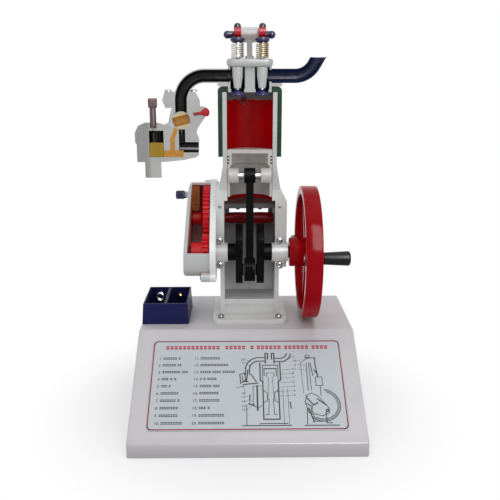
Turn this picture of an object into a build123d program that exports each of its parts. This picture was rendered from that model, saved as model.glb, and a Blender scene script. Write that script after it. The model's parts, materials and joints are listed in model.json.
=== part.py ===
from build123d import *
import math
import os

# Sectioned four-stroke engine model on a sloping console, worked by a handle on the flywheel.
# The engine is cut open along the upright plane through the cylinder and the crankshaft.
# X runs along the crankshaft, Y away from the viewer, Z up. Millimetres.

os.makedirs("parts", exist_ok=True)

# Driving sizes of the engine
bore_d = 59
throw = 24.4
rod_length = 127.2
crank_height = 92.2        # crankshaft above the console's platform
shaft_d = 16
gear_module = 2
crank_teeth = 22
cam_teeth = 44
cam_bearing_deg = 33       # direction from crankshaft to camshaft, above the level
valve_pitch = 31           # between the two valves
valve_lift = 3.5
flywheel_d = 176.6

# Driving sizes of the console
console_w = 280
platform_d = 142
slope_d = 130
slope_h = 90
band_h = 17.5
platform_behind = 95       # platform edge behind the crankshaft
engine_right = 5           # engine right of the console's middle

# Clearances, used wherever two pieces meet
run_gap = 0.05             # a shaft turning in its bush
slide_gap = 0.35           # pieces that slide or turn past each other
seat_gap = 0.03            # a curved seat between fixed pieces
overrun = 4                # how far cuts reach past a face

# Sizes that follow from those above
console_h = band_h + slope_h
crank_z = console_h + crank_height
carb_reach = 147.5         # carburettor's left edge from the engine's centre line
gear_spread = gear_module * (crank_teeth + cam_teeth) / 2
cam_y = gear_spread * math.cos(math.radians(cam_bearing_deg))
cam_z = gear_spread * math.sin(math.radians(cam_bearing_deg))
valve_x = valve_pitch / 2
pushrod_y = cam_y
rocker_y = pushrod_y / 2
case_big_r = 50            # gear case round the cam gear
case_small_r = 32          # gear case round the crank gear
plate_lip = 4.5            # gear case plate past its cover

# X = 0 and Y = 0 are the middle of the model's outline seen from above.
left_reach = carb_reach - engine_right
console_x = (left_reach - console_w / 2) / 2
engine_x = console_x + engine_right
console_d = platform_d + slope_d
back_reach = max(platform_behind, cam_y + case_big_r + plate_lip)
crank_y = (console_d - platform_behind - back_reach) / 2
console_back = crank_y + platform_behind
console_front = console_back - console_d

# SECTION is the cut plane seen from the front, SIDE looks along the crankshaft, LEVEL is seen
# from above. All three start at the crankshaft's centre under the cylinder.
crank_at = (engine_x, crank_y, crank_z)
SECTION = Plane(origin=crank_at, x_dir=(1, 0, 0), z_dir=(0, -1, 0))
SIDE = Plane(origin=crank_at, x_dir=(0, 1, 0), z_dir=(1, 0, 0))
LEVEL = Plane(origin=crank_at, x_dir=(1, 0, 0), z_dir=(0, 0, 1))


def finish(built, name):
    """Labels one piece and writes it."""
    built.label = name
    export_step(built, "parts/" + name + ".step")


def pan_screws(plane, places, head_r, head_h, shank_r, shank_l):
    """Cross-head pan screws standing on one plane, with their shanks below it."""
    crown = head_h * head_crown_share
    slot_r = head_r * head_slot_share
    with BuildPart() as screws:
        with BuildSketch(plane):
            with Locations(*places):
                Circle(head_r)
        extrude(amount=head_h)
        rims = screws.edges().filter_by(GeomType.CIRCLE)
        fillet(rims.group_by(Axis(plane.origin, plane.z_dir))[-1], radius=crown)
        with BuildSketch(plane.offset(head_h)):
            with Locations(*places):
                Rectangle(slot_r * 2, slot_r / 2)
                Rectangle(slot_r / 2, slot_r * 2)
        extrude(amount=-crown, mode=Mode.SUBTRACT)
        with BuildSketch(plane):
            with Locations(*places):
                Circle(shank_r)
        extrude(amount=-shank_l)
    return screws.part


def helix_arcs(radius, pitch, turns, height):
    """Quarter turns of a helix, each as two arcs that meet without a kink."""
    legs = []
    for k in range(int(turns * 4)):
        ends = []
        for j in (k, k + 1):
            a = math.pi * j / 2
            spot = Vector(radius * math.cos(a), radius * math.sin(a), height + pitch * j / 4)
            way = Vector(-radius * math.sin(a), radius * math.cos(a), pitch / (2 * math.pi))
            ends.append((spot, way.normalized()))
        (p, t), (q, u) = ends
        chord = q - p
        both = t + u
        bend = 1 - t.dot(u)
        along = chord.dot(both)
        reach = (math.sqrt(along ** 2 + 2 * bend * chord.dot(chord)) - along) / (2 * bend)
        legs.append((p, t, (p + q + (t - u) * reach) * 0.5, q, u))
    return legs


# Screws. One pan head size is used all over the model.
head_r = 4.4
head_h = 2.6
head_crown_share = 0.55
head_slot_share = 0.6
shank_r = 2
shank_l = 6
hole_r = shank_r + slide_gap

# Console: one thin moulding, open below, standing on its rim.
console_wall = 4
console_edge_r = 3

with BuildPart() as base_shell:
    with BuildSketch(Plane.YZ.offset(console_x - console_w / 2)):
        with BuildLine():
            Polyline(
                (console_front, 0),
                (console_front, band_h),
                (console_back - platform_d, console_h),
                (console_back, console_h),
                (console_back, 0),
                close=True,
            )
        make_face()
    extrude(amount=console_w)
    outside = base_shell.edges().group_by(Axis.Z)[1:]
    fillet([edge for level in outside for edge in level], radius=console_edge_r)
    offset(amount=-console_wall, openings=base_shell.faces().sort_by(Axis.Z)[0])
finish(base_shell.part, "base_shell")

# Legend sheet on the slope, a plain laminated card.
legend_w = 238
legend_h = 124
legend_t = 1.2
legend_r = 5
legend_drop = 18           # below the platform's front edge, along the slope
slope_deg = math.degrees(math.atan2(slope_h, slope_d))
slope_up = (0, math.cos(math.radians(slope_deg)), math.sin(math.radians(slope_deg)))
slope_out = (0, -slope_up[2], slope_up[1])
legend_mid = legend_drop + legend_h / 2
SLOPE = Plane(
    origin=(
        engine_x - engine_right,
        console_back - platform_d - legend_mid * slope_up[1],
        console_h - legend_mid * slope_up[2],
    ),
    x_dir=(1, 0, 0),
    z_dir=slope_out,
)

with BuildPart() as legend_plate:
    with BuildSketch(SLOPE):
        RectangleRounded(legend_w, legend_h, legend_r)
    extrude(amount=legend_t)
finish(legend_plate.part, "legend_plate")

# Battery box on the platform: a drafted tray with two bays for cells.
bay_w = 26.6
bay_d = 71
bay_deep = 24
box_wall = 1.8
box_h = 28
box_foot_d = 80
box_draft_deg = 3.5
box_x = -112.5             # from the engine's centre line
box_front = -27.4          # from the cut plane
box_edge_r = 1.2
box_flare = 2 * box_h * math.tan(math.radians(box_draft_deg))
box_foot_w = 2 * bay_w + 3 * box_wall + box_flare
bay_pitch = bay_w + box_wall
box_y = box_front + box_foot_d / 2
PLATFORM = LEVEL.offset(-crank_height)

with BuildPart() as battery_box:
    with BuildSketch(PLATFORM):
        with Locations((box_x, box_y)):
            Rectangle(box_foot_w, box_foot_d)
    extrude(amount=box_h, taper=box_draft_deg)
    fillet(battery_box.edges().group_by(Axis.Z)[1], radius=box_edge_r)
    with BuildSketch(PLATFORM.offset(box_h)):
        with Locations((box_x - bay_pitch / 2, box_y), (box_x + bay_pitch / 2, box_y)):
            Rectangle(bay_w, bay_d)
    extrude(amount=-bay_deep, mode=Mode.SUBTRACT)
finish(battery_box.part, "battery_box")

# Contacts at both ends of the bays. The left bay has its coil at the back and its stud in front;
# the right bay has them the other way round, so that the two cells join in line.
contact_z = box_h - bay_deep / 2
coil_r = 5
coil_wire_r = 0.5
coil_turns = 4
coil_pitch = 2.2
stud_r = 3.2
stud_ball_r = 3.8
stud_l = 2.5
coil_ends = []
stud_ends = []
for bay_side, coil_end in ((-1, 1), (1, -1)):
    bay_x = engine_x + box_x + bay_side * bay_pitch / 2
    for end, spots in ((coil_end, coil_ends), (-coil_end, stud_ends)):
        spots.append(
            Plane(
                origin=(bay_x, crank_y + box_y + end * bay_d / 2, crank_z - crank_height + contact_z),
                x_dir=(1, 0, 0),
                z_dir=(0, -end, 0),
            )
        )

with BuildPart() as contact_coil:
    for bay_end in coil_ends:
        coil_spot = bay_end.offset(coil_wire_r)
        legs = helix_arcs(coil_r, coil_pitch, coil_turns, 0)
        with BuildLine() as coil_path:
            for start, way, middle, end, out in legs:
                first = coil_spot.from_local_coords(start)
                half = coil_spot.from_local_coords(middle)
                last = coil_spot.from_local_coords(end)
                there = coil_spot.from_local_coords(start + way) - first
                back = last - coil_spot.from_local_coords(end + out)
                TangentArc(first, half, tangent=there)
                TangentArc(last, half, tangent=back)
        with BuildSketch(Plane(origin=coil_path.line @ 0, z_dir=coil_path.line % 0)):
            Circle(coil_wire_r)
        sweep(path=coil_path.line)
finish(contact_coil.part, "contact_coil")

with BuildPart() as contact_stud:
    for bay_end in stud_ends:
        with BuildSketch(bay_end):
            Circle(stud_r)
        extrude(amount=stud_l)
        with Locations(bay_end.offset(stud_l)):
            Sphere(stud_ball_r, arc_size1=0)
finish(contact_stud.part, "contact_stud")

# Crankcase casting, open at the cut plane. Its lower box is narrower than the upper one, and
# both lean forward at the back.
window_half = 33.8
window_top = 69.3
window_floor = -66.3
case_low_half = 39.6
case_left = 44.5
case_right = 49.3
case_top = 83.6
case_step = -21
case_chamfer_x = 9
case_chamfer_z = 16
case_back_top = 80.5
case_back_foot = 52
case_wall = 6
case_knee = 12             # where the leaning back turns upright
flange_t = 6
flange_half = 49.2
flange_front = 28
flange_back = 72
flange_r = 7
floor_t = 7.7
bearing_r = 13
bearing_left_in = 29.4
bearing_right_in = 29.4
bearing_right_out = 50.7
bush_t = 2
cam_shaft_r = 6
rear_window_half = 28
rear_window_low = 28
rear_window_high = 47
bridge_y = 45
bridge_z = 51
tappet_r = 5.2
flange_screw_x = 39
flange_screw_y = 13
cap_screw_x = case_left - head_r - slide_gap
cap_screw_z = 16.6
cheek_screw_z = 62
ear_r = 6
ear_t = 5
bush_r = shaft_d / 2 + run_gap + bush_t
foot_z = flange_t - crank_height
panel_in = 1.5
foot_screw_spots = ((-flange_screw_x, -flange_screw_y), (flange_screw_x, -flange_screw_y))
cap_screw_spots = (
    (-cap_screw_x, -cap_screw_z),
    (-cap_screw_x, cap_screw_z),
    (cap_screw_x, -cap_screw_z),
    (cap_screw_x, cap_screw_z),
)
cheek_screw_spots = ((-cap_screw_x, cheek_screw_z), (cap_screw_x, cheek_screw_z))
floor_under = window_floor - floor_t

with BuildPart() as crankcase:
    with BuildSketch(LEVEL.offset(-crank_height)):
        with Locations((0, (flange_back - flange_front) / 2)):
            RectangleRounded(2 * flange_half, flange_back + flange_front, flange_r)
    extrude(amount=flange_t)
    with BuildSketch(SIDE.offset(-case_low_half)):
        with BuildLine():
            Polyline(
                (0, foot_z),
                (0, case_step),
                (case_back_top, case_step),
                (case_back_top, foot_z),
                close=True,
            )
        make_face()
    extrude(amount=2 * case_low_half)
    with BuildSketch(SECTION):
        with BuildLine():
            Polyline(
                (-case_left, case_step),
                (-case_left, case_top),
                (case_right - case_chamfer_x, case_top),
                (case_right, case_top - case_chamfer_z),
                (case_right, case_step),
                close=True,
            )
        make_face()
    extrude(amount=-case_back_top)
    with BuildSketch(SIDE.offset(-flange_half - overrun)):
        with BuildLine():
            Polyline(
                (case_back_top, case_knee),
                (case_back_foot, foot_z),
                (case_back_top + overrun, foot_z),
                (case_back_top + overrun, case_knee),
                close=True,
            )
        make_face()
    extrude(amount=2 * (flange_half + overrun), mode=Mode.SUBTRACT)
    # room for the crank, cut from the front, with the back wall following the outside
    with BuildSketch(SIDE.offset(-window_half)):
        with BuildLine():
            Polyline(
                (-overrun, window_floor),
                (-overrun, window_top),
                (case_back_top - case_wall, window_top),
                (case_back_top - case_wall, case_knee),
                (case_back_foot - case_wall, window_floor),
                close=True,
            )
        make_face()
    extrude(amount=2 * window_half, mode=Mode.SUBTRACT)
    # hollow under the floor
    with BuildSketch(LEVEL.offset(-crank_height)):
        with Locations((0, case_back_foot / 2)):
            Rectangle(2 * window_half, case_back_foot - 2 * case_wall)
    extrude(amount=floor_under + crank_height, mode=Mode.SUBTRACT)
    # front panel under the sill, a little behind the cut plane
    with BuildSketch(SECTION):
        with Locations((0, (foot_z + floor_under) / 2)):
            Rectangle(2 * window_half, floor_under - foot_z)
    extrude(amount=-panel_in, mode=Mode.SUBTRACT)
    # guide bar for the tappets, across the top of the room
    with BuildSketch(SECTION.offset(-bridge_y)):
        with Locations((0, (bridge_z + window_top) / 2)):
            Rectangle(2 * window_half, window_top - bridge_z)
    extrude(amount=bridge_y - case_back_top + case_wall)
    # bearing housings behind the cut plane
    with BuildSketch(SIDE.offset(-case_left)):
        Circle(bearing_r)
    extrude(amount=case_left - bearing_left_in)
    with BuildSketch(SIDE.offset(bearing_right_in)):
        Circle(bearing_r)
    extrude(amount=bearing_right_out - bearing_right_in)
    with BuildSketch(SECTION):
        with Locations((-cap_screw_x, -cap_screw_z), (cap_screw_x, -cap_screw_z)):
            Circle(ear_r)
    extrude(amount=-case_back_foot / 2)
    with BuildSketch(SECTION):
        with Locations((-case_left - ear_r, -cap_screw_z)):
            Rectangle(2 * ear_r, 2 * ear_r)
    extrude(amount=-case_back_foot / 2, mode=Mode.SUBTRACT)
    with BuildSketch(SIDE.offset(-flange_half - overrun)):
        with Locations((-bearing_r, 0)):
            Rectangle(2 * bearing_r, 2 * (case_top + overrun))
    extrude(amount=2 * (flange_half + overrun), mode=Mode.SUBTRACT)
    with BuildSketch(SIDE.offset(-flange_half - overrun)):
        Circle(bush_r + seat_gap)
    extrude(amount=2 * (flange_half + overrun), mode=Mode.SUBTRACT)
    # camshaft tunnel through the left wall and part of the right one
    with BuildSketch(SIDE.offset(-case_left - overrun)):
        with Locations((cam_y, cam_z)):
            Circle(cam_shaft_r + run_gap)
    extrude(amount=case_left + window_half + case_wall + overrun, mode=Mode.SUBTRACT)
    # cylinder bore, tappet and pushrod guides
    with BuildSketch(LEVEL.offset(window_top - overrun)):
        Circle(bore_d / 2)
    extrude(amount=case_top - window_top + 2 * overrun, mode=Mode.SUBTRACT)
    with BuildSketch(LEVEL.offset(bridge_z - overrun)):
        with Locations((-valve_x, pushrod_y), (valve_x, pushrod_y)):
            Circle(tappet_r + slide_gap)
    extrude(amount=case_top - bridge_z + 2 * overrun, mode=Mode.SUBTRACT)
    # inspection window in the back wall
    with BuildSketch(SECTION.offset(-case_back_top + case_wall + overrun)):
        with Locations((0, (rear_window_low + rear_window_high) / 2)):
            Rectangle(2 * rear_window_half, rear_window_high - rear_window_low)
    extrude(amount=-case_wall - 2 * overrun, mode=Mode.SUBTRACT)
    # screw holes: foot, caps and cheeks
    with BuildSketch(LEVEL.offset(foot_z)):
        with Locations(*foot_screw_spots):
            Circle(hole_r)
    extrude(amount=-flange_t, mode=Mode.SUBTRACT)
    with BuildSketch(SECTION):
        with Locations(*cap_screw_spots, *cheek_screw_spots):
            Circle(hole_r)
    extrude(amount=-shank_l - overrun, mode=Mode.SUBTRACT)
finish(crankcase.part, "crankcase")

# Bearing caps: half rings in front of the cut plane, each held by two screws.
with BuildPart() as bearing_caps:
    for cap_from, cap_to, ear_x in (
        (-case_left, -bearing_left_in, -cap_screw_x),
        (bearing_right_in, bearing_right_out, cap_screw_x),
    ):
        with BuildSketch(SIDE.offset(cap_from)):
            Circle(bearing_r)
        extrude(amount=cap_to - cap_from)
        with BuildSketch(SECTION):
            with Locations((ear_x, 0)):
                SlotCenterToCenter(2 * cap_screw_z, 2 * ear_r, rotation=90)
        extrude(amount=ear_t)
    with BuildSketch(SIDE.offset(-flange_half)):
        Circle(bush_r + seat_gap)
    extrude(amount=flange_half + bearing_right_out, mode=Mode.SUBTRACT)
    with BuildSketch(SECTION):
        with Locations(*cap_screw_spots):
            Circle(hole_r)
    extrude(amount=ear_t, mode=Mode.SUBTRACT)
    split(bisect_by=SECTION, keep=Keep.TOP)
    split(bisect_by=SIDE.offset(-case_left), keep=Keep.TOP)
finish(bearing_caps.part, "bearing_caps")

# Screws of the crankcase: two in its foot, four in the caps and two small ones in the cheeks.
cheek_head_r = 2.6
foot_screws = pan_screws(
    LEVEL.offset(foot_z), foot_screw_spots, head_r, head_h, shank_r, flange_t
)
cap_screws = pan_screws(
    SECTION.offset(ear_t), cap_screw_spots, head_r, head_h, shank_r, ear_t + shank_l
)
cheek_screws = pan_screws(
    SECTION, cheek_screw_spots, cheek_head_r, head_h / 2, shank_r, shank_l
)
finish(Compound(children=[foot_screws, cap_screws, cheek_screws]), "case_screws")

# Main bearing bushes, whole rings of bronze.
with BuildPart() as main_bushes:
    for bush_from, bush_to in (
        (-case_left, -bearing_left_in),
        (bearing_right_in, bearing_right_out),
    ):
        with BuildSketch(SIDE.offset(bush_from)):
            Circle(bush_r)
            Circle(bush_r - bush_t, mode=Mode.SUBTRACT)
        extrude(amount=bush_to - bush_from)
finish(main_bushes.part, "main_bushes")

# Cylinder barrel, cut in half, flared at its foot.
head_face = 208.5
barrel_r = 35
flare_r = 40.6
flare_top = 116.4
jacket_gap = seat_gap
plug_x = -7.5
plug_start_y = 27
plug_start_z = 197
plug_deg = 30
plug_r = 4.5
plug_seat_out = 4
PLUG = Plane(
    origin=LEVEL.from_local_coords((plug_x, plug_start_y, plug_start_z)),
    x_dir=(1, 0, 0),
    z_dir=(0, math.cos(math.radians(plug_deg)), math.sin(math.radians(plug_deg))),
)

with BuildPart() as cylinder:
    with BuildSketch(SECTION):
        with BuildLine():
            Polyline(
                (bore_d / 2, case_top),
                (flare_r, case_top),
                (barrel_r, flare_top),
                (barrel_r, head_face),
                (bore_d / 2, head_face),
                close=True,
            )
        make_face()
    revolve(axis=Axis(crank_at, (0, 0, 1)), revolution_arc=180)
    with BuildSketch(PLUG.offset(-overrun)):
        Circle(plug_r + seat_gap)
    extrude(amount=barrel_r, mode=Mode.SUBTRACT)
finish(cylinder.part, "cylinder")

# Water jacket round the barrel, turned in over its top.
jacket_r = 40.8
jacket_low = 127
jacket_high = 215.8
jacket_in = 27.6
jacket_corner_r = 6

with BuildPart() as water_jacket:
    with BuildSketch(SECTION):
        with BuildLine():
            Polyline(
                (barrel_r + jacket_gap, jacket_low),
                (jacket_r, jacket_low),
                (jacket_r, jacket_high - jacket_corner_r),
            )
            RadiusArc(
                (jacket_r, jacket_high - jacket_corner_r),
                (jacket_r - jacket_corner_r, jacket_high),
                -jacket_corner_r,
            )
            Polyline(
                (jacket_r - jacket_corner_r, jacket_high),
                (jacket_in, jacket_high),
                (jacket_in, head_face),
                (barrel_r + jacket_gap, head_face),
                (barrel_r + jacket_gap, jacket_low),
            )
        make_face()
    revolve(axis=Axis(crank_at, (0, 0, 1)), revolution_arc=180)
    with BuildSketch(PLUG.offset(-overrun)):
        Circle(plug_r + seat_gap)
    extrude(amount=barrel_r, mode=Mode.SUBTRACT)
finish(water_jacket.part, "water_jacket")

# Cylinder head: port block, flange over the jacket, and the deck that carries the valve gear.
port_block_r = jacket_in - seat_gap
head_flange_h = 5.4
deck_low = 239.4
deck_high = 249.6
deck_half = 29.3
deck_front = 8
deck_back = 36
deck_r = 9
deck_edge_r = 4.5
port_r = 9.2
port_floor = 212.3
throat_r = 8.2
runner_z = 228.6
runner_r = 7.4
pipe_r = 8.8
stem_r = 2.5

with BuildPart() as deck:
    with BuildSketch(LEVEL.offset(deck_low)):
        with Locations((0, (deck_back - deck_front) / 2)):
            RectangleRounded(2 * deck_half, deck_back + deck_front, deck_r)
    extrude(amount=deck_high - deck_low)
    fillet(deck.edges().group_by(Axis.Z)[0], radius=deck_edge_r)

with BuildPart() as cylinder_head:
    with BuildSketch(LEVEL.offset(head_face)):
        Circle(port_block_r)
    extrude(amount=deck_low - head_face)
    with BuildSketch(LEVEL.offset(jacket_high)):
        Circle(jacket_r)
    extrude(amount=head_flange_h)
    split(bisect_by=SECTION, keep=Keep.BOTTOM)
    add(deck.part)
    with BuildSketch(LEVEL.offset(port_floor)):
        with Locations((-valve_x, 0), (valve_x, 0)):
            Circle(port_r)
    extrude(amount=deck_low - port_floor, mode=Mode.SUBTRACT)
    with BuildSketch(LEVEL.offset(head_face)):
        with Locations((-valve_x, 0), (valve_x, 0)):
            Circle(throat_r)
    extrude(amount=port_floor - head_face, mode=Mode.SUBTRACT)
    with BuildSketch(SIDE.offset(-port_block_r - overrun)):
        with Locations((0, runner_z)):
            Circle(runner_r)
    extrude(amount=port_block_r + overrun - valve_x, mode=Mode.SUBTRACT)
    with BuildSketch(SIDE.offset(valve_x)):
        with Locations((0, runner_z)):
            Circle(runner_r)
    extrude(amount=port_block_r + overrun - valve_x, mode=Mode.SUBTRACT)
    # the pipes lie in grooves in the flange
    for sign in (-1, 1):
        with BuildSketch(SIDE.offset(sign * port_block_r)):
            with Locations((0, runner_z)):
                Circle(pipe_r + seat_gap)
        extrude(amount=sign * (jacket_r - port_block_r + overrun), mode=Mode.SUBTRACT)
    with BuildSketch(LEVEL.offset(deck_low)):
        with Locations((-valve_x, 0), (valve_x, 0)):
            Circle(stem_r + run_gap)
    extrude(amount=deck_high - deck_low, mode=Mode.SUBTRACT)
finish(cylinder_head.part, "cylinder_head")

# Valve gear, once for each side: guide, valve, spring, retainer, rocker, adjuster, pushrod, tappet.
guide_top_r = 6.9
guide_knee_r = 6.5
guide_knee = 228
guide_tip_r = 4.4
guide_tip = 213.4
valve_head_r = 9.2
valve_neck_r = 5
valve_low = 204.6
valve_rim_h = 1.6
valve_head_top = 212
spring_r = 7.5             # to the middle of the wire
spring_wire_r = 0.65
spring_turns = 8
retainer_r = 9.1
retainer_h = 6.3
retainer_low = 268.3
retainer_lip = 1.5
stem_top = 275.3
nose_gap = 0.2
rocker_w = 9
rocker_z = 280
rocker_hub_r = 8
nose_r = 6
tail_r = 5.5
arm_half = 4.2
rocker_shaft_r = 4
adjuster_r = 2.2
lock_nut_r = 4
lock_nut_h = 3.4
dome_r = 2.6
pushrod_r = 2.3
tappet_tip_r = 2.2
tappet_cone_h = 6.5
cam_base_r = 7.9
lobe_r = cam_base_r + valve_lift
lobe_gap = 0.4
tappet_h = 24
spring_pitch = (retainer_low - deck_high - 2 * spring_wire_r) / spring_turns
nose_z = stem_top + nose_gap + nose_r
tail_z = nose_z
tappet_foot = cam_z + lobe_r + lobe_gap
tappet_top = tappet_foot + tappet_h
pushrod_top = tail_z - tail_r - nose_gap

with BuildPart() as valve_guides:
    for sign in (-1, 1):
        stem_x = sign * valve_x
        with BuildSketch(SECTION):
            with BuildLine():
                Polyline(
                    (stem_x + stem_r + run_gap, guide_tip),
                    (stem_x + guide_tip_r, guide_tip),
                    (stem_x + guide_knee_r, guide_knee),
                    (stem_x + guide_top_r, deck_low),
                    (stem_x + stem_r + run_gap, deck_low),
                    close=True,
                )
            make_face()
        revolve(axis=Axis((engine_x + stem_x, crank_y, crank_z), (0, 0, 1)))
finish(valve_guides.part, "valve_guides")

for side, sign in (("inlet", -1), ("exhaust", 1)):
    stem_x = sign * valve_x
    with BuildPart() as valve:
        with BuildSketch(SECTION):
            with BuildLine():
                Polyline(
                    (stem_x, valve_low),
                    (stem_x + valve_head_r, valve_low),
                    (stem_x + valve_head_r, valve_low + valve_rim_h),
                    (stem_x + valve_neck_r, valve_head_top - valve_rim_h),
                    (stem_x + stem_r, valve_head_top),
                    (stem_x + stem_r, stem_top),
                    (stem_x, stem_top),
                    close=True,
                )
            make_face()
        revolve(axis=Axis((engine_x + stem_x, crank_y, crank_z), (0, 0, 1)))
    finish(valve.part, "valve_" + side)

    legs = helix_arcs(spring_r, spring_pitch, spring_turns, deck_high + spring_wire_r)
    with BuildPart() as valve_spring:
        place = Vector(engine_x + stem_x, crank_y, crank_z)
        with BuildLine() as spring_path:
            for start, way, middle, end, out in legs:
                TangentArc(place + start, place + middle, tangent=way)
                TangentArc(place + end, place + middle, tangent=out * -1)
        with BuildSketch(Plane(origin=spring_path.line @ 0, z_dir=spring_path.line % 0)):
            Circle(spring_wire_r)
        sweep()
    finish(valve_spring.part, "valve_spring_" + side)

    with BuildPart() as retainer:
        with BuildSketch(LEVEL.offset(retainer_low)):
            with Locations((stem_x, 0)):
                Circle(retainer_r)
        extrude(amount=retainer_h)
        chamfer(retainer.edges().filter_by(GeomType.CIRCLE), length=retainer_lip)
        with BuildSketch(LEVEL.offset(retainer_low)):
            with Locations((stem_x, 0)):
                Circle(stem_r + seat_gap)
        extrude(amount=retainer_h, mode=Mode.SUBTRACT)
    finish(retainer.part, "spring_retainer_" + side)

    with BuildPart() as rocker:
        with BuildSketch(SIDE.offset(stem_x - rocker_w / 2)):
            with Locations((rocker_y, rocker_z)):
                Circle(rocker_hub_r)
            with Locations((0, nose_z)):
                Circle(nose_r)
            with Locations((pushrod_y, tail_z)):
                Circle(tail_r)
            with BuildLine():
                Polyline(
                    (0, nose_z - arm_half),
                    (rocker_y, rocker_z - rocker_hub_r),
                    (pushrod_y, tail_z - arm_half),
                    (pushrod_y, tail_z + arm_half),
                    (rocker_y, rocker_z + rocker_hub_r),
                    (0, nose_z + arm_half),
                    close=True,
                )
            make_face()
            with Locations((rocker_y, rocker_z)):
                Circle(rocker_shaft_r + run_gap, mode=Mode.SUBTRACT)
        extrude(amount=rocker_w)
        with BuildSketch(LEVEL.offset(tail_z - tail_r - overrun)):
            with Locations((stem_x, pushrod_y)):
                Circle(adjuster_r + seat_gap)
        extrude(amount=2 * (tail_r + overrun), mode=Mode.SUBTRACT)
    finish(rocker.part, "rocker_" + side)

    # the screw ends level with the rocker's underside and carries a lock nut and a domed end
    with BuildPart() as adjuster:
        with BuildSketch(LEVEL.offset(tail_z - tail_r)):
            with Locations((stem_x, pushrod_y)):
                Circle(adjuster_r)
        extrude(amount=2 * tail_r + lock_nut_h)
        with BuildSketch(LEVEL.offset(tail_z + tail_r)):
            with Locations((stem_x, pushrod_y)):
                RegularPolygon(lock_nut_r, 6)
        extrude(amount=lock_nut_h)
        with Locations(LEVEL.from_local_coords((stem_x, pushrod_y, tail_z + tail_r + lock_nut_h))):
            Sphere(dome_r)
    finish(adjuster.part, "adjuster_" + side)

    with BuildPart() as pushrod:
        with BuildSketch(LEVEL.offset(tappet_top)):
            with Locations((stem_x, pushrod_y)):
                Circle(pushrod_r)
        extrude(amount=pushrod_top - tappet_top)
        fillet(pushrod.edges().sort_by(Axis.Z)[-1], radius=pushrod_r / 2)
    finish(pushrod.part, "pushrod_" + side)

    with BuildPart() as tappet:
        with BuildSketch(SECTION.offset(-pushrod_y)):
            with BuildLine():
                Polyline(
                    (stem_x, tappet_foot),
                    (stem_x + tappet_tip_r, tappet_foot),
                    (stem_x + tappet_r, tappet_foot + tappet_cone_h),
                    (stem_x + tappet_r, tappet_top),
                    (stem_x, tappet_top),
                    close=True,
                )
            make_face()
        revolve(axis=Axis((engine_x + stem_x, crank_y + pushrod_y, crank_z), (0, 0, 1)))
    finish(tappet.part, "tappet_" + side)

# least gap of the wound pieces to themselves, on points one turn apart
for name, pitch, radius, wire_r in (
    ("valve springs", spring_pitch, spring_r, spring_wire_r),
    ("contact coil", coil_pitch, coil_r, coil_wire_r),
):
    marks = []
    for k in range(73):
        a = math.pi * k / 18
        marks.append(Vector(radius * math.cos(a), radius * math.sin(a), pitch * k / 36))
    least = min((marks[i] - marks[j]).length for i in range(73) for j in range(i + 24, 73))
    print(name, "least gap to itself", round(least - 2 * wire_r, 3), "mm")

# Rocker pedestal: a stem on the deck with a long boss for the rocker shaft.
post_half = 3.5
post_front = 7
boss_half = 10.8
boss_r = 9.6
pad_half = 6
pad_h = 4

with BuildPart() as rocker_post:
    with BuildSketch(LEVEL.offset(deck_high)):
        with Locations((0, rocker_y)):
            Rectangle(2 * post_half, 2 * post_front)
    extrude(amount=rocker_z - deck_high)
    with BuildSketch(LEVEL.offset(deck_high)):
        with Locations((0, rocker_y)):
            RectangleRounded(2 * pad_half, 2 * post_front, post_half)
    extrude(amount=pad_h)
    with BuildSketch(SIDE.offset(-boss_half)):
        with Locations((rocker_y, rocker_z)):
            Circle(boss_r)
    extrude(amount=2 * boss_half)
    with BuildSketch(SIDE.offset(-boss_half)):
        with Locations((rocker_y, rocker_z)):
            Circle(rocker_shaft_r + seat_gap)
    extrude(amount=2 * boss_half, mode=Mode.SUBTRACT)
finish(rocker_post.part, "rocker_post")

knob_collar_r = 4.6
knob_r = 5
knob_from = 20.4
knob_to = 33.4

ROCKERS = Plane(
    origin=SIDE.from_local_coords((rocker_y, rocker_z, 0)),
    x_dir=(1, 0, 0),
    z_dir=(0, -1, 0),
)
knob_mid = knob_to - knob_r
knob_ball_from = knob_mid - math.sqrt(knob_r**2 - knob_collar_r**2)

with BuildPart() as rocker_shaft:
    with BuildSketch(ROCKERS):
        with BuildLine():
            Polyline(
                (-knob_ball_from, knob_collar_r),
                (-knob_from, knob_collar_r),
                (-knob_from, rocker_shaft_r),
                (knob_from, rocker_shaft_r),
                (knob_from, knob_collar_r),
                (knob_ball_from, knob_collar_r),
            )
            ThreePointArc((knob_ball_from, knob_collar_r), (knob_mid, knob_r), (knob_to, 0))
            Line((knob_to, 0), (-knob_to, 0))
            ThreePointArc((-knob_to, 0), (-knob_mid, knob_r), (-knob_ball_from, knob_collar_r))
        make_face()
    revolve(axis=Axis(origin=ROCKERS.origin, direction=ROCKERS.x_dir))
finish(rocker_shaft.part, "rocker_shaft")

# Timing gears. Flanks follow the involute at three radii, with a little play.
pressure_deg = 20
tooth_play = 0.3
addendum_share = 1.0
dedendum_share = 1.25
gear_w = 9
gear_from = -63
gear_hub_r = 13


def gear_points(teeth, turn_deg):
    """Outline of a gear with one tooth centred on the direction given."""
    pitch_r = gear_module * teeth / 2
    base_r = pitch_r * math.cos(math.radians(pressure_deg))
    tan_a = math.tan(math.radians(pressure_deg))
    inv_a = tan_a - math.radians(pressure_deg)
    radii = (
        pitch_r - dedendum_share * gear_module,
        pitch_r,
        pitch_r + addendum_share * gear_module,
    )
    flank = []
    for r in radii:
        a = math.acos(min(base_r / r, 1))
        half = math.pi / (2 * teeth) - tooth_play / (2 * pitch_r) + inv_a - (math.tan(a) - a)
        flank.append((r, half))
    points = []
    for k in range(teeth):
        mid = math.radians(turn_deg) + 2 * math.pi * k / teeth
        for r, half in flank:
            points.append((r * math.cos(mid - half), r * math.sin(mid - half)))
        for r, half in reversed(flank):
            points.append((r * math.cos(mid + half), r * math.sin(mid + half)))
    return points


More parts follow.
